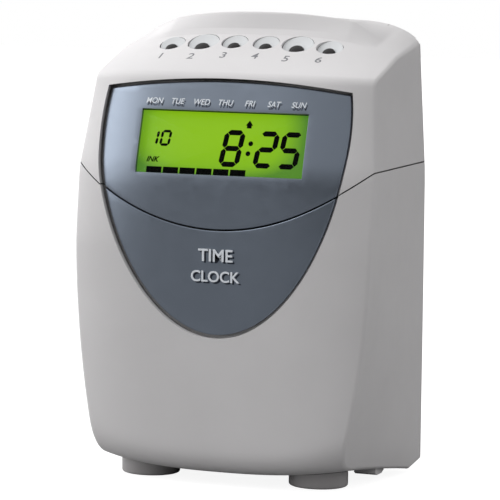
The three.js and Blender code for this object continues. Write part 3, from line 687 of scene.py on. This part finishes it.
def display_material(centre_z):
    """Green display with a painted glow: brightest above the middle, with painted shade making it
    darker and duller to its edges.
    """
    mat = material("display_green", linear(120, 176, 30), 0.35, bump=0.02)
    nodes, links = mat.node_tree.nodes, mat.node_tree.links
    where = nodes.new("ShaderNodeTexCoord")
    parts = nodes.new("ShaderNodeSeparateXYZ")
    links.new(where.outputs["Object"], parts.inputs["Vector"])

    def calc(operation, a, b=0.0):
        node = nodes.new("ShaderNodeMath")
        node.operation = operation
        for socket, value in zip(node.inputs, (a, b)):
            feed(links, socket, value)
        return node.outputs[0]

    def fall_off(axis, centre, reach, power):
        distance = calc("DIVIDE", calc("SUBTRACT", parts.outputs[axis], centre), reach)
        return calc("POWER", calc("ABSOLUTE", distance), power)

    across = fall_off("X", -4 * MM, 49 * MM, 3.2)
    edge_shade = calc("ADD", across, fall_off("Z", centre_z + 5 * MM, 23 * MM, 3.0))
    # painted shade: the ramp turns the glow darker and duller green towards the display's edges
    ramp = nodes.new("ShaderNodeValToRGB")
    stops = ramp.color_ramp.elements
    stops[0].color = linear(146, 202, 26) + (1,)
    stops[1].color = linear(84, 138, 50) + (1,)
    stops[1].position = 0.95
    stops.new(0.4).color = linear(136, 194, 34) + (1,)
    links.new(edge_shade, ramp.inputs["Fac"])
    shader = nodes["Principled BSDF"]
    links.new(ramp.outputs["Color"], shader.inputs["Emission Color"])
    # painted glow: the display gives off light of its own to keep its green bright
    shader.inputs["Emission Strength"].default_value = 0.76
    shader.inputs["Specular IOR Level"].default_value = 0.1
    plain_base(shader, links, (0.04, 0.08, 0.01))
    return mat


materials["clear_lens"] = window_material()
materials["display_green"] = display_material((WINDOW_Z + LIFT) * MM)

# ---- carried-over CAD pieces ----
WELD_DISTANCE, BEVEL_WIDTH, BEVEL_ANGLE = 0.01 * MM, 0.25 * MM, 38
slots = {part["node"]: part["material_slot"] for part in frame["record"]["subparts"]}
for name, obj in frame["nodes"].items():
    obj.data.materials.clear()
    obj.data.materials.append(materials[slots[name]])
    weld = obj.modifiers.new("weld", "WELD")
    weld.merge_threshold = WELD_DISTANCE
    bevel = obj.modifiers.new("bevel", "BEVEL")
    bevel.width = BEVEL_WIDTH
    bevel.segments = 2
    bevel.limit_method = "ANGLE"
    bevel.angle_limit = math.radians(BEVEL_ANGLE)
    bevel.harden_normals = True
    for polygon in obj.data.polygons:
        polygon.use_smooth = True

# ---- case shells ----
WIDE, FAR, LOW, HIGH = 90, 60, -20, 300  # past every side of the case
form = case_form(0, radius=CREASE_RADIUS)
inner_form = case_form(WALL, open_rear=True)
foot_form = case_form(-0.3, radius=CREASE_RADIUS)
shell = cut(form, inner_form)
RECESS_DEPTH, RECESS_FLOOR_REAR = PANEL_DEPTH + PANEL_THICKNESS + 0.3, 6.6
recess = common(shield(PANEL_RIM), cut(case_form(-5), case_form(RECESS_DEPTH)))
floor_sheet = cut(case_form(WALL - 0.4), case_form(RECESS_FLOOR_REAR))
recess_floor = common(shield(PANEL_RIM + 3), floor_sheet)


def seam_side(above):
    """Everything on one side of the seam, SEAM_GAP away from it."""
    x = np.linspace(-WIDE, WIDE, 121)
    gap = SEAM_GAP if above else -SEAM_GAP
    level = HIGH if above else LOW
    edge = [(a, seam_z(a) + gap) for a in x] + [(WIDE, level), (-WIDE, level)]
    return prism_y(edge, (-FAR, FAR))


above_seam, below_seam = seam_side(True), seam_side(False)
display_frame = tilted(0, FRONT_Y + (WINDOW_Z - BEND_Z) * math.tan(LEAN), WINDOW_Z, -LEAN)


def shelf_z(x):
    """Height of the key shelf along the line of the keys."""
    rear_y, rear_z = shelf_rear(x)
    return mix(brow_z(x), rear_z, (KEY_ROW_Y - BROW_Y) / (rear_y - BROW_Y))


shelf_frame = tilted(0, KEY_ROW_Y, shelf_z(0), SHELF)
keys = []
for i in range(KEY_COUNT):
    key_x = (i - (KEY_COUNT - 1) / 2) * KEY_PITCH
    is_wide = i in (1, 4)
    keys.append({
        "x": key_x,
        "frame": tilted(key_x, KEY_ROW_Y, shelf_z(key_x), SHELF),
        "radius": WIDE_KEY_RADIUS if is_wide else KEY_RADIUS,
        "lens": 3.9 if is_wide else 3.3,
        "ahead": 3.7 if is_wide else 2.8,
    })


def both_sides(span):
    """The span on the left and the span on the right of the middle."""
    return ((-span[1], -span[0]), span)


def slice_y(y, z):
    """A block as wide as the case and more."""
    return box((-WIDE, WIDE), y, z)


LIP_BOTTOM = BACK_PLATE_TOP + 2.8  # the cover reaches over the back plate above this height


def upper_cover():
    """The hinged cover: shell above the seam, hood slot, key holes, posts, strike and knuckles."""
    lip = common(form, slice_y((COVER_REAR_Y - 0.5, FAR), (LIP_BOTTOM, HIGH)))
    skirt_half = SLOT_HALF_WIDTH + 2
    skirt = box((-skirt_half, skirt_half), (SLOT_FRONT - 1.6, SLOT_REAR + 1.6), (228.5, 250))
    strike = box((-79.6, -66.5), (-5.4, -3.4), (161.5, 178))
    fittings = [skirt, strike]
    for x, z in ((-54, -17), (-54, 18), (54, -17), (54, 18)):
        fittings.append(rod("y", 2.5, (7.6, 11.7), (x, z), 24, display_frame))
    fittings += [rod("z", 3, (-16.7, -5.5), (x, 0), 24, shelf_frame) for x in (-57, 57)]
    whole = join(common(shell, slice_y((-FAR, COVER_REAR_Y), (LOW, HIGH)), above_seam),
                 common(shell, slice_y((40, FAR), (236, HIGH))))
    whole = join(whole, lip, common(recess_floor, above_seam))
    for fitting in fittings:
        whole = join(whole, common(fitting, form))
    ears = []
    for ear in HINGE_EARS:
        for a, b in both_sides(ear):
            ears.append(box((a - 0.6, b + 0.6), (40, FAR), (220, HINGE_Z + 2.9)))
    whole = cut(whole, slice_y((COVER_REAR_Y, FAR), (LOW, LIP_BOTTOM)), *ears)
    for span in both_sides(HINGE_KNUCKLE):
        web = box(span, (HINGE_Y - 2, HINGE_Y + 2), (HINGE_Z, HINGE_Z + 5))
        whole = join(whole, web, rod("x", HINGE_RADIUS, span, (HINGE_Y, HINGE_Z), 40))
    slot = box((-SLOT_HALF_WIDTH, SLOT_HALF_WIDTH), (SLOT_FRONT, SLOT_REAR), (200, 260))
    floor_window = box((-48.5, 48.5), (-20, 9), (-18.4, 18.4), display_frame)
    key_holes = []
    for key in keys:
        key_holes.append(rod("z", key["radius"] + 0.3, (-8, 12), (0, -0.2), 72, key["frame"]))
    pin_spans = both_sides((20, 50))
    pins = [rod("x", PIN_RADIUS + 0.1, span, (HINGE_Y, HINGE_Z), 24) for span in pin_spans]
    return cut(whole, recess, slot, floor_window, *key_holes, *pins)


SCREWS = [(side * 73.5, z) for side in (-1, 1) for z in (22, 148)]


def lower_case():
    """The case below the seam, with screw bosses, wedge lugs underneath and the seat of the lock."""
    whole = common(shell, slice_y((-FAR, COVER_REAR_Y), (LOW, HIGH)), below_seam)
    lip_band = cut(case_form(WALL - 0.8, True), case_form(WALL + 1.4, True))
    lip = common(lip_band, box((-WIDE, -76), (-2, COVER_REAR_Y - 6), (157, 162.4)), below_seam)
    whole = join(whole, common(recess_floor, below_seam), lip)
    within = case_form(0.5, True)
    for x, z in SCREWS:
        reach = math.copysign(80.5, x)
        rib = box((min(x, reach), max(x, reach)), (28, 41.2), (z - 1.5, z + 1.5))
        boss = join(rod("y", 4.8, (28, 41.2), (x, z), 40), rib)
        boss = cut(boss, rod("y", 1.6, (30, 60), (x, z), 24))
        whole = join(whole, common(boss, within))
    wedge = ((2.5, 3.4), (5, 2.2), (12, 2.2), (15.5, 3.4), (15.5, 6), (2.5, 6))
    whole = join(whole, *[prism_x(wedge, span) for span in both_sides((60, 72))])
    lock_at = (LOCK_Y, LOCK_Z)
    seat = rod("x", BARREL_RADIUS + 0.2, (-90, -75), lock_at, 64)
    rim = rod("x", BARREL_RADIUS + 1.7, (-90, -81.1), lock_at, 64)
    return cut(whole, recess, seat, rim)


def rear_housing():
    """The back plate, with screw columns, ribs, hinge ears, vents and the power inlet's opening."""
    whole = common(form, slice_y((BACK_PLATE_Y, FAR), (LOW, BACK_PLATE_TOP)))
    whole = join(whole, *[rod("y", 4.6, (41.5, 46), at, 40) for at in SCREWS])
    whole = join(whole, *[box((x - 1, x + 1), (44, 46), (120, 215)) for x in (-40, 0, 40)])
    for ear in HINGE_EARS:
        for span in both_sides(ear):
            leg = box(span, (HINGE_Y - 2.3, HINGE_Y + 2.2), (223, HINGE_Z))
            foot = box(span, (HINGE_Y - 2.3, 46), (221, BACK_PLATE_TOP - 0.5))
            whole = join(whole, rod("x", HINGE_RADIUS, span, (HINGE_Y, HINGE_Z), 40), leg, foot)
    pin_spans = both_sides((20, 45.2))
    holes = [rod("x", PIN_RADIUS + 0.05, span, (HINGE_Y, HINGE_Z), 24) for span in pin_spans]
    for at in SCREWS:
        holes += [rod("y", 3.5, (43, 60), at, 40), rod("y", 1.9, (30, 60), at, 24)]
    holes += [box((-22, 22), (40, FAR), (56 + i * 7, 58.6 + i * 7)) for i in range(7)]
    holes.append(box((-56, -32), (40, FAR), (24, 40)))
    return cut(whole, *holes)


finish_piece(upper_cover(), "v_upper_cover", "cover", "case_grey", ["upper_cover"])
finish_piece(lower_case(), "v_lower_case", "base", "case_grey", ["lower_case"])
finish_piece(rear_housing(), "v_rear_housing", "base", "case_grey", ["rear_housing"])


# ---- shield panels and display ----
def on_front(points, depth):
    """Points (x, z) laid on the leaning front, `depth` below the case surface."""
    points = np.asarray(points, float)
    return np.stack((points[:, 0], on_surface(points, depth), points[:, 1]), -1)


def window_edge():
    """The window outline, wound the other way round than the shield."""
    half_z = WINDOW_HALF_HEIGHT * math.cos(LEAN)
    x, low, high = WINDOW_HALF_WIDTH, WINDOW_Z - half_z, WINDOW_Z + half_z
    corners = ((-x, low), (x, low), (x, high), (-x, high))
    edge = []
    for i, start in enumerate(corners):
        end = corners[(i + 1) % 4]
        count = 40 if i % 2 == 0 else 16
        edge += [mix(np.array(start), np.array(end), k / count) for k in range(count)]
    return np.array(edge)


sheet = (PANEL_DEPTH, PANEL_THICKNESS, on_front)
upper_panel = plate([shield_part(True), window_edge()], (0.5, 0.12), *sheet)
lower_panel = plate([shield_part(False)], (0.5,), *sheet)
finish_piece(upper_panel, "v_upper_panel", "cover", "shield_metal", ["upper_panel"], smooth=50)
finish_piece(lower_panel, "v_lower_panel", "base", "shield_metal", ["lower_panel"], smooth=50)


def slab(half_x, half_z, span, round_edge):
    """A flat plate in the display's frame with rounded corners and edges."""
    corners = []
    for side, end, start in ((1, 1, 0), (-1, 1, 90), (-1, -1, 180), (1, -1, 270)):
        for k in range(7):
            angle = math.radians(start + 15 * k)
            u, v = side * (half_x - 1) + math.cos(angle), end * (half_z - 1) + math.sin(angle)
            corners.append((u, v))
    outline = np.array(corners)[::-1]
    steps = ((round_edge, 0), (round_edge * 0.3, round_edge * 0.3), (0, round_edge))
    levels = [(inset, span[0] + sink) for inset, sink in steps]
    levels += [(inset, span[1] - sink) for inset, sink in steps[::-1]]
    rings = [[(p[0], y, p[1]) for p in offset_loop(outline, inset)] for inset, y in levels]
    return body_of("slab", rings, display_frame)


LCD_HALF_WIDTH, LCD_HALF_HEIGHT = 48.2, 17.9
window = slab(WINDOW_HALF_WIDTH - 0.3, WINDOW_HALF_HEIGHT - 0.3, (3.6, 5.5), 0.3)
finish_piece(window, "v_display_window", "cover", "clear_lens", ["display_window"])
lcd = slab(LCD_HALF_WIDTH, LCD_HALF_HEIGHT, (6.5, 8.1), 0.15)
finish_piece(lcd, "v_lcd_panel", "cover", "display_green", ["lcd_panel"])

# ---- display content ----
LCD_FACE = 6.44  # segments lie just in front of the panel
SLANT = 0.12
# Segments of a digit as hexagon centre lines on a cell one wide and two high, lowest row first.
SEGMENTS = {"a": ((0, 2), (1, 2)), "b": ((1, 2), (1, 1)), "c": ((1, 1), (1, 0)),
            "d": ((0, 0), (1, 0)), "e": ((0, 0), (0, 1)), "f": ((0, 1), (0, 2)),
            "g": ((0, 1), (1, 1))}
DIGITS = {"0": "abcdef", "1": "bc", "2": "abged", "5": "afgcd", "8": "abcdefg"}


def bar(start, end, width, gap):
    """Hexagon around a segment's centre line."""
    start, end = np.array(start), np.array(end)
    along = unit(end - start)
    across = np.array((-along[1], along[0])) * width / 2
    start, end = start + along * gap, end - along * gap
    shoulder = along * width / 2
    return [start, start + shoulder + across, end - shoulder + across, end, end - shoulder - across,
            start + shoulder - across]


def lcd_shapes():
    """Every dark shape on the display, as outlines in the display's plane."""
    shapes = []

    def digit(char, x, z, width, height, stroke):
        for name in DIGITS[char]:
            line = [(a * width, b * height / 2) for a, b in SEGMENTS[name]]
            outline = bar(line[0], line[1], stroke, 0.06 * stroke)
            shapes.append([(x + u + SLANT * v, z + v) for u, v in outline])

    digit("1", -37.6, -0.2, 0.01, 7.2, 1.4)
    digit("0", -35.2, -0.2, 4.5, 7.2, 1.4)
    for char, x in (("8", -0.3), ("2", 18.6), ("5", 31.6)):
        digit(char, x, -9.2, 8.7, 16.8, 2.75)
    round_angles = np.linspace(0, 2 * math.pi, 25)[:-1]
    for x, z in ((14.2, -3.2), (15.1, 2.1)):
        shapes.append([(x + 1.3 * math.cos(t), z + 1.3 * math.sin(t)) for t in round_angles])
    arrow = ((0, 2.5), (2.0, -0.2), (1.3, -0.2), (1.3, -1.7))
    arrow += ((-1.3, -1.7), (-1.3, -0.2), (-2.0, -0.2))
    shapes.append([(13.2 + u, 11.8 + v) for u, v in arrow])
    low, high, width, pitch = -17.4, -11.9, 8.5, 9.37
    for i in range(6):
        x = -41.3 + i * pitch
        shapes.append([(x, low), (x + width, low), (x + width, high), (x, high)])
    return shapes


def flat_shapes(name, shapes, front, depth, frame_matrix):
    """Thin plates from outlines (u, v) in a tilted frame, front face at `front`."""
    vertices, faces = [], []
    for outline in shapes:
        first, count = len(vertices), len(outline)
        vertices += [(u, front, v) for u, v in outline] + [(u, front + depth, v) for u, v in outline]
        faces += prism_faces(count, first)
    return outward(mesh_object(name, moved(vertices, frame_matrix), faces))


segments = flat_shapes("segments", lcd_shapes(), LCD_FACE, 0.05, display_frame)
finish_piece(segments, "lcd_segments", "cover", "display_green", ink="segment_ink")


def letters(words, height, thickness, shear=0.0, bold=0.0):
    """Text as points (u, v, w) centred on its own middle, `height` tall, with its faces."""
    curve = bpy.data.curves.new("letters", "FONT")
    curve.body = words
    curve.align_x, curve.align_y = "CENTER", "CENTER"
    curve.shear = shear
    curve.extrude = 0.5
    curve.offset = bold
    curve.size = 1
    obj = bpy.data.objects.new("letters", curve)
    bpy.context.scene.collection.objects.link(obj)
    graph = bpy.context.evaluated_depsgraph_get()
    mesh = bpy.data.meshes.new_from_object(obj.evaluated_get(graph))
    bpy.data.objects.remove(obj)
    points = np.array([v.co[:] for v in mesh.vertices])
    faces = [tuple(p.vertices) for p in mesh.polygons]
    low, high = points.min(0), points.max(0)
    scale = height / (high[1] - low[1])
    points[:, :2] = (points[:, :2] - (low[:2] + high[:2]) / 2) * scale
    points[:, 2] *= thickness
    return points, faces


def printed(name, words, place, height, at, body, ink,
            raise_by=0.05, thickness=0.06, shear=0.0, bold=0.0):
    """Words laid on a curved surface; place(points, depth) puts them there."""
    points, faces = letters(words, height, thickness, shear, bold)
    flat = points[:, :2] + at
    vertices = place(flat, -(points[:, 2] + raise_by))
    obj = outward(mesh_object(name, vertices, faces), merge=1e-7)
    return finish_piece(obj, name, body, "shield_metal", ink=ink, smooth=20)


def on_panel(points, depth):
    return on_front(points, PANEL_DEPTH + depth)


def on_lcd(points, depth):
    return [tuple(display_frame @ Vector((u, LCD_FACE + d, v))) for (u, v), d in zip(points, depth)]


def on_key_shelf(points, depth):
    points = np.asarray(points, float)
    return np.stack((points[:, 0], points[:, 1], on_shelf(points, depth)), -1)


DAYS = ("MON", "TUE", "WED", "THU", "FRI", "SAT", "SUN")
DAY_PITCH, DAY_Z, DAY_HEIGHT = 13.35, 198.0, 2.9
FLAT = {"raise_by": 0.01, "thickness": 0.02}  # a painted shadow under raised letters
for i, day in enumerate(DAYS):
    word, x = day.lower(), -39.6 + i * DAY_PITCH
    printed(f"day_{word}", day, on_panel, DAY_HEIGHT, (x, DAY_Z), "cover", "print_white",
            shear=0.25, bold=0.012)
    printed(f"day_shade_{word}", day, on_panel, DAY_HEIGHT, (x + 0.7, DAY_Z - 1.3), "cover",
            "print_shadow", shear=0.25, bold=0.02, **FLAT)
printed("lcd_ink_word", "INK", on_lcd, 2.9, (-38.2, -8.0), "cover", "segment_ink",
        0.0, 0.04, shear=0.3, bold=0.03)
for words, z, size in (("TIME", 120.0, 6.4), ("CLOCK", 109.0, 5.8)):
    word = words.lower()
    printed(f"panel_word_{word}", words, on_panel, size, (0, z), "base", "print_white",
            0.5, 0.5, bold=0.014)
    printed(f"panel_shade_{word}", words, on_panel, size, (0.9, z - 0.9), "base", "print_shadow",
            bold=0.014, **FLAT)
for i, key in enumerate(keys):
    at = (key["x"] - 1.0, KEY_ROW_Y - key["radius"] - 6.6)
    printed(f"key_number_{i + 1}", str(i + 1), on_key_shelf, 5.6, at, "cover", "print_ink",
            0.01, 0.03, bold=0.01)

# ---- keys ----
AROUND = 72
CAP_ROUND = 0.15
CAP_FRONT, CAP_REAR = -2.4, -0.02  # a cap's rim below the shelf at its front and at its back
FLANGE_TOP, FLANGE_BOTTOM, FLANGE_OVER, STEM_RADIUS = -4.8, -6.4, 0.95, 2.6
LENS_HEIGHT, LENS_ROUND, LENS_DOME = 0.9, 0.7, 0.2


def ring(radius, centre_y, heights):
    """Points round a circle in a key's frame; heights(x, y) gives the third coordinate."""
    points = []
    for k in range(AROUND):
        angle = 2 * math.pi * k / AROUND
        x, y = radius * math.sin(angle), centre_y + radius * math.cos(angle)
        points.append((x, y, heights(x, y)))
    return points


def cap_height(radius, y):
    """Height of a cap's rim, sunk at its front and flush with the shelf at its back."""
    return mix(CAP_FRONT, CAP_REAR, (y + radius) / (2 * radius))


def key_cap(key):
    """A scooped cap, flush with the shelf at its back, with a bore for the lens and a stem below."""
    radius, lens, ahead = key["radius"], key["lens"], key["ahead"]
    drop = (shelf_z(0) - shelf_z(key["x"])) * math.cos(SHELF)
    stem_end = -14 + drop + 1.8

    def top(x, y):
        dish = 0.5 * max(0.0, 1 - (x / radius) ** 2 - (y / radius) ** 2)
        return cap_height(radius, y) - dish

    bore = lens + 0.2
    rings = [ring(bore, -ahead, lambda x, y: -5.5)]
    rings.append(ring(bore, -ahead, lambda x, y: top(x, y) - 0.25))
    rings.append(ring(bore + 0.1, -ahead, lambda x, y: top(x, y) - 0.06))
    edge = radius - CAP_ROUND
    for t in np.linspace(0, 1, 12):
        rings.append(ring(mix(bore + 0.3, edge, t), -ahead * (1 - t), top))
    for turn in (30, 60, 90):
        angle = math.radians(turn)
        r, sink = edge + CAP_ROUND * math.sin(angle), CAP_ROUND * (1 - math.cos(angle))
        rings.append(ring(r, 0, lambda x, y, sink=sink: top(x, y) - sink))
    flange = radius + FLANGE_OVER
    skirt = ((radius, FLANGE_TOP), (flange, FLANGE_TOP), (flange, FLANGE_BOTTOM))
    skirt += ((STEM_RADIUS, FLANGE_BOTTOM), (STEM_RADIUS, stem_end))
    for r, z in skirt:
        rings.append(ring(r, 0, lambda x, y, z=z: z))
    return body_of("cap", rings, key["frame"])


def key_lens(key):
    """A glossy domed button standing a little out of the cap."""
    radius, ahead = key["lens"], key["ahead"]
    base = cap_height(key["radius"], -ahead)
    slope = (CAP_REAR - CAP_FRONT) / (2 * key["radius"])
    rings = [ring(radius, -ahead, lambda x, y: -5.2)]
    for turn in range(0, 91, 10):
        angle = math.radians(turn)
        r = radius - 1.0 + math.cos(angle)
        z = base + LENS_ROUND * math.sin(angle)
        rings.append(ring(r, -ahead, lambda x, y, z=z: z + slope * (y + ahead)))
    for share in (0.75, 0.5, 0.25, 0.06):
        r = (radius - 1) * share
        z = base + LENS_HEIGHT - LENS_DOME * share**2
        rings.append(ring(r, -ahead, lambda x, y, z=z: z + slope * (y + ahead)))
    return body_of("lens", rings, key["frame"])


for i, key in enumerate(keys):
    name, body = f"key_{i + 1}", f"key_{i + 1}"
    finish_piece(key_cap(key), f"v_{name}", body, "key_grey", [name])
    finish_piece(key_lens(key), f"v_key_lens_{i + 1}", body, "lens_dark", [f"key_lens_{i + 1}"])


# ---- feet ----
def foot(x, y, radius_x, radius_y, top):
    """A round foot with a soft rim, cut where it meets the case."""
    profile = [(5.0, -LIFT), (1.6, -LIFT), (1.1, -0.93), (0.55, -0.7), (0.2, -0.35), (0.04, 0.1)]
    profile += [(0, z) for z in (0.6, *np.linspace(1.5, top, 8))]
    angles = np.linspace(0, 2 * math.pi, 97)[:-1]
    rings = []
    for inset, z in profile:
        a, b = radius_x - inset, radius_y - inset
        rings.append([(x + a * math.cos(t), y + b * math.sin(t), z) for t in angles])
    return cut(body_of("rod", rings), foot_form)


# Place, radii and top of the feet on the right.
FEET = {"front_foot": (47.5, -17.5, 15.7, 14, 14), "rear_foot": (44, 32, 6, 6, 8)}
for word, side in (("left", -1), ("right", 1)):
    for kind, (x, *rest) in FEET.items():
        name = f"{kind}_{word}"
        finish_piece(foot(side * x, *rest), f"v_{name}", "base", "foot_grey", [name])


# ---- spiral shaft ----
SHAFT_AT = (3.0, 119.0)
SHAFT_RADIUS, JOURNAL_RADIUS, SHAFT_BEVEL = 4.0, 2.5, 0.4
SHAFT_END, GROOVED_END = 62.0, 58.0
SHAFT_PITCH = 20.0  # the carriage moves this far on each turn
GROOVE_DEPTH, GROOVE_HALF_WIDTH = 0.8, 1.1


def spiral_shaft():
    """A shaft along X with one helical groove, stepped down to a journal at each end."""

    def shaft_ring(x, radius, groove):
        points = []
        for k in range(64):
            angle = 2 * math.pi * k / 64
            phase = (angle + 2 * math.pi * x / SHAFT_PITCH) / (2 * math.pi)
            off = (phase - round(phase)) * SHAFT_PITCH
            r = radius - groove * math.exp(-((off / GROOVE_HALF_WIDTH) ** 4))
            points.append((x, SHAFT_AT[0] + r * math.cos(angle), SHAFT_AT[1] + r * math.sin(angle)))
        return points

    shoulder = ((SHAFT_END, SHAFT_RADIUS - SHAFT_BEVEL), (SHAFT_END - SHAFT_BEVEL, SHAFT_RADIUS))
    rings = [shaft_ring(x, JOURNAL_RADIUS, 0) for x in (-66, -SHAFT_END)]
    rings += [shaft_ring(-x, r, 0) for x, r in shoulder]
    for x in np.arange(-GROOVED_END, GROOVED_END + 0.1, 0.5):
        rings.append(shaft_ring(x, SHAFT_RADIUS, GROOVE_DEPTH))
    rings += [shaft_ring(x, r, 0) for x, r in shoulder[::-1]]
    rings += [shaft_ring(x, JOURNAL_RADIUS, 0) for x in (SHAFT_END, 67)]
    return body_of("shaft", rings)


finish_piece(spiral_shaft(), "v_spiral_shaft", "spiral_shaft", "bright_steel", ["spiral_shaft"])

remove_helpers()


# ---- stage, light and camera ----
def floor_material():
    """Pale paper that reads as white to the camera but throws little light back at the object."""
    mat = material("floor_paper", (0.24, 0.24, 0.24), 0.7, grain=40, bump=0.0, mottle=0.01, wear=0)
    nodes, links = mat.node_tree.nodes, mat.node_tree.links
    seen = nodes.new("ShaderNodeLightPath")
    links.new(seen.outputs["Is Camera Ray"], nodes["Principled BSDF"].inputs["Emission Strength"])
    nodes["Principled BSDF"].inputs["Emission Color"].default_value = (0.9, 0.9, 0.9, 1)
    return mat


FLOOR = 4000
corners = [(-FLOOR, -FLOOR, 0), (FLOOR, -FLOOR, 0), (FLOOR, FLOOR, 0), (-FLOOR, FLOOR, 0)]
floor = mesh_object("floor", corners, [(0, 1, 2, 3)], lift=False)
floor.data.materials.append(floor_material())


def studio_world():
    """White to the camera; to the clock, bright overhead, dark below, with a glow on the left."""
    world = bpy.data.worlds.new("studio")
    bpy.context.scene.world = world
    world.use_nodes = True
    nodes, links = world.node_tree.nodes, world.node_tree.links
    light = nodes["Background"]
    light.inputs["Color"].default_value = (1, 1, 1, 1)
    white = nodes.new("ShaderNodeBackground")
    white.inputs["Color"].default_value = (1, 1, 1, 1)
    where = nodes.new("ShaderNodeTexCoord")
    parts = nodes.new("ShaderNodeSeparateXYZ")
    links.new(where.outputs["Generated"], parts.inputs["Vector"])

    def rise(axis, start, end, low, high):
        node = nodes.new("ShaderNodeMapRange")
        node.interpolation_type = "SMOOTHSTEP"
        set_range(node, start, end, low, high)
        links.new(parts.outputs[axis], node.inputs["Value"])
        return node.outputs["Result"]

    def calc(operation, a, b):
        node = nodes.new("ShaderNodeMath")
        node.operation = operation
        links.new(a, node.inputs[0])
        links.new(b, node.inputs[1])
        return node.outputs[0]

    overhead = calc("MULTIPLY", rise("Z", 0.0, 0.55, 0.03, 0.84), rise("Y", -1.0, 0.0, 0.7, 1.1))
    total = calc("ADD", overhead, rise("X", -0.9, -0.35, 2.3, 0.0))
    links.new(total, light.inputs["Strength"])
    seen = nodes.new("ShaderNodeLightPath")
    chosen = nodes.new("ShaderNodeMixShader")
    links.new(seen.outputs["Is Camera Ray"], chosen.inputs["Fac"])
    links.new(light.outputs["Background"], chosen.inputs[1])
    links.new(white.outputs["Background"], chosen.inputs[2])
    links.new(chosen.outputs["Shader"], nodes["World Output"].inputs["Surface"])


studio_world()
TARGET = Vector((0, -2.5, 118 + LIFT)) * MM


def softbox(name, place, size, power):
    """A square area light facing the clock."""
    data = bpy.data.lights.new(name, "AREA")
    data.shape = "RECTANGLE"
    data.size = data.size_y = size
    data.energy = power
    lamp = bpy.data.objects.new(name, data)
    lamp.location = place
    lamp.rotation_euler = (TARGET - Vector(place)).to_track_quat("-Z", "Y").to_euler()
    bpy.context.scene.collection.objects.link(lamp)


softbox("key_light", (-0.62, -0.34, 0.85), 0.5, 1.5)
softbox("side_light", (1.3, -0.5, 0.6), 0.7, 1.5)

AZIMUTH, ELEVATION, ROLL = math.radians(21.6), math.radians(6.6), math.radians(0.5)
DISTANCE = 1634.6 * MM
SHIFT_X, SHIFT_Y = -1.945 * MM, -0.3698 * MM
FOCAL_OVER_FRAME, SENSOR = 6.2, 36.0
level = Vector((math.sin(AZIMUTH), -math.cos(AZIMUTH), 0))
back = level * math.cos(ELEVATION) + Vector((0, 0, math.sin(ELEVATION)))
right = Vector((math.cos(AZIMUTH), math.sin(AZIMUTH), 0))
up = back.cross(right)
camera_data = bpy.data.cameras.new("camera")
camera_data.sensor_width = SENSOR
camera_data.lens = SENSOR * FOCAL_OVER_FRAME
camera_data.clip_end = 50
camera = bpy.data.objects.new("camera", camera_data)
turn = Matrix((right, up, back)).transposed() @ Matrix.Rotation(ROLL, 3, "Z")
stand = TARGET + back * DISTANCE - right * SHIFT_X - up * SHIFT_Y
camera.matrix_world = Matrix.Translation(stand) @ turn.to_4x4()
bpy.context.scene.collection.objects.link(camera)
bpy.context.scene.camera = camera
bpy.context.scene.view_settings.view_transform = "Standard"
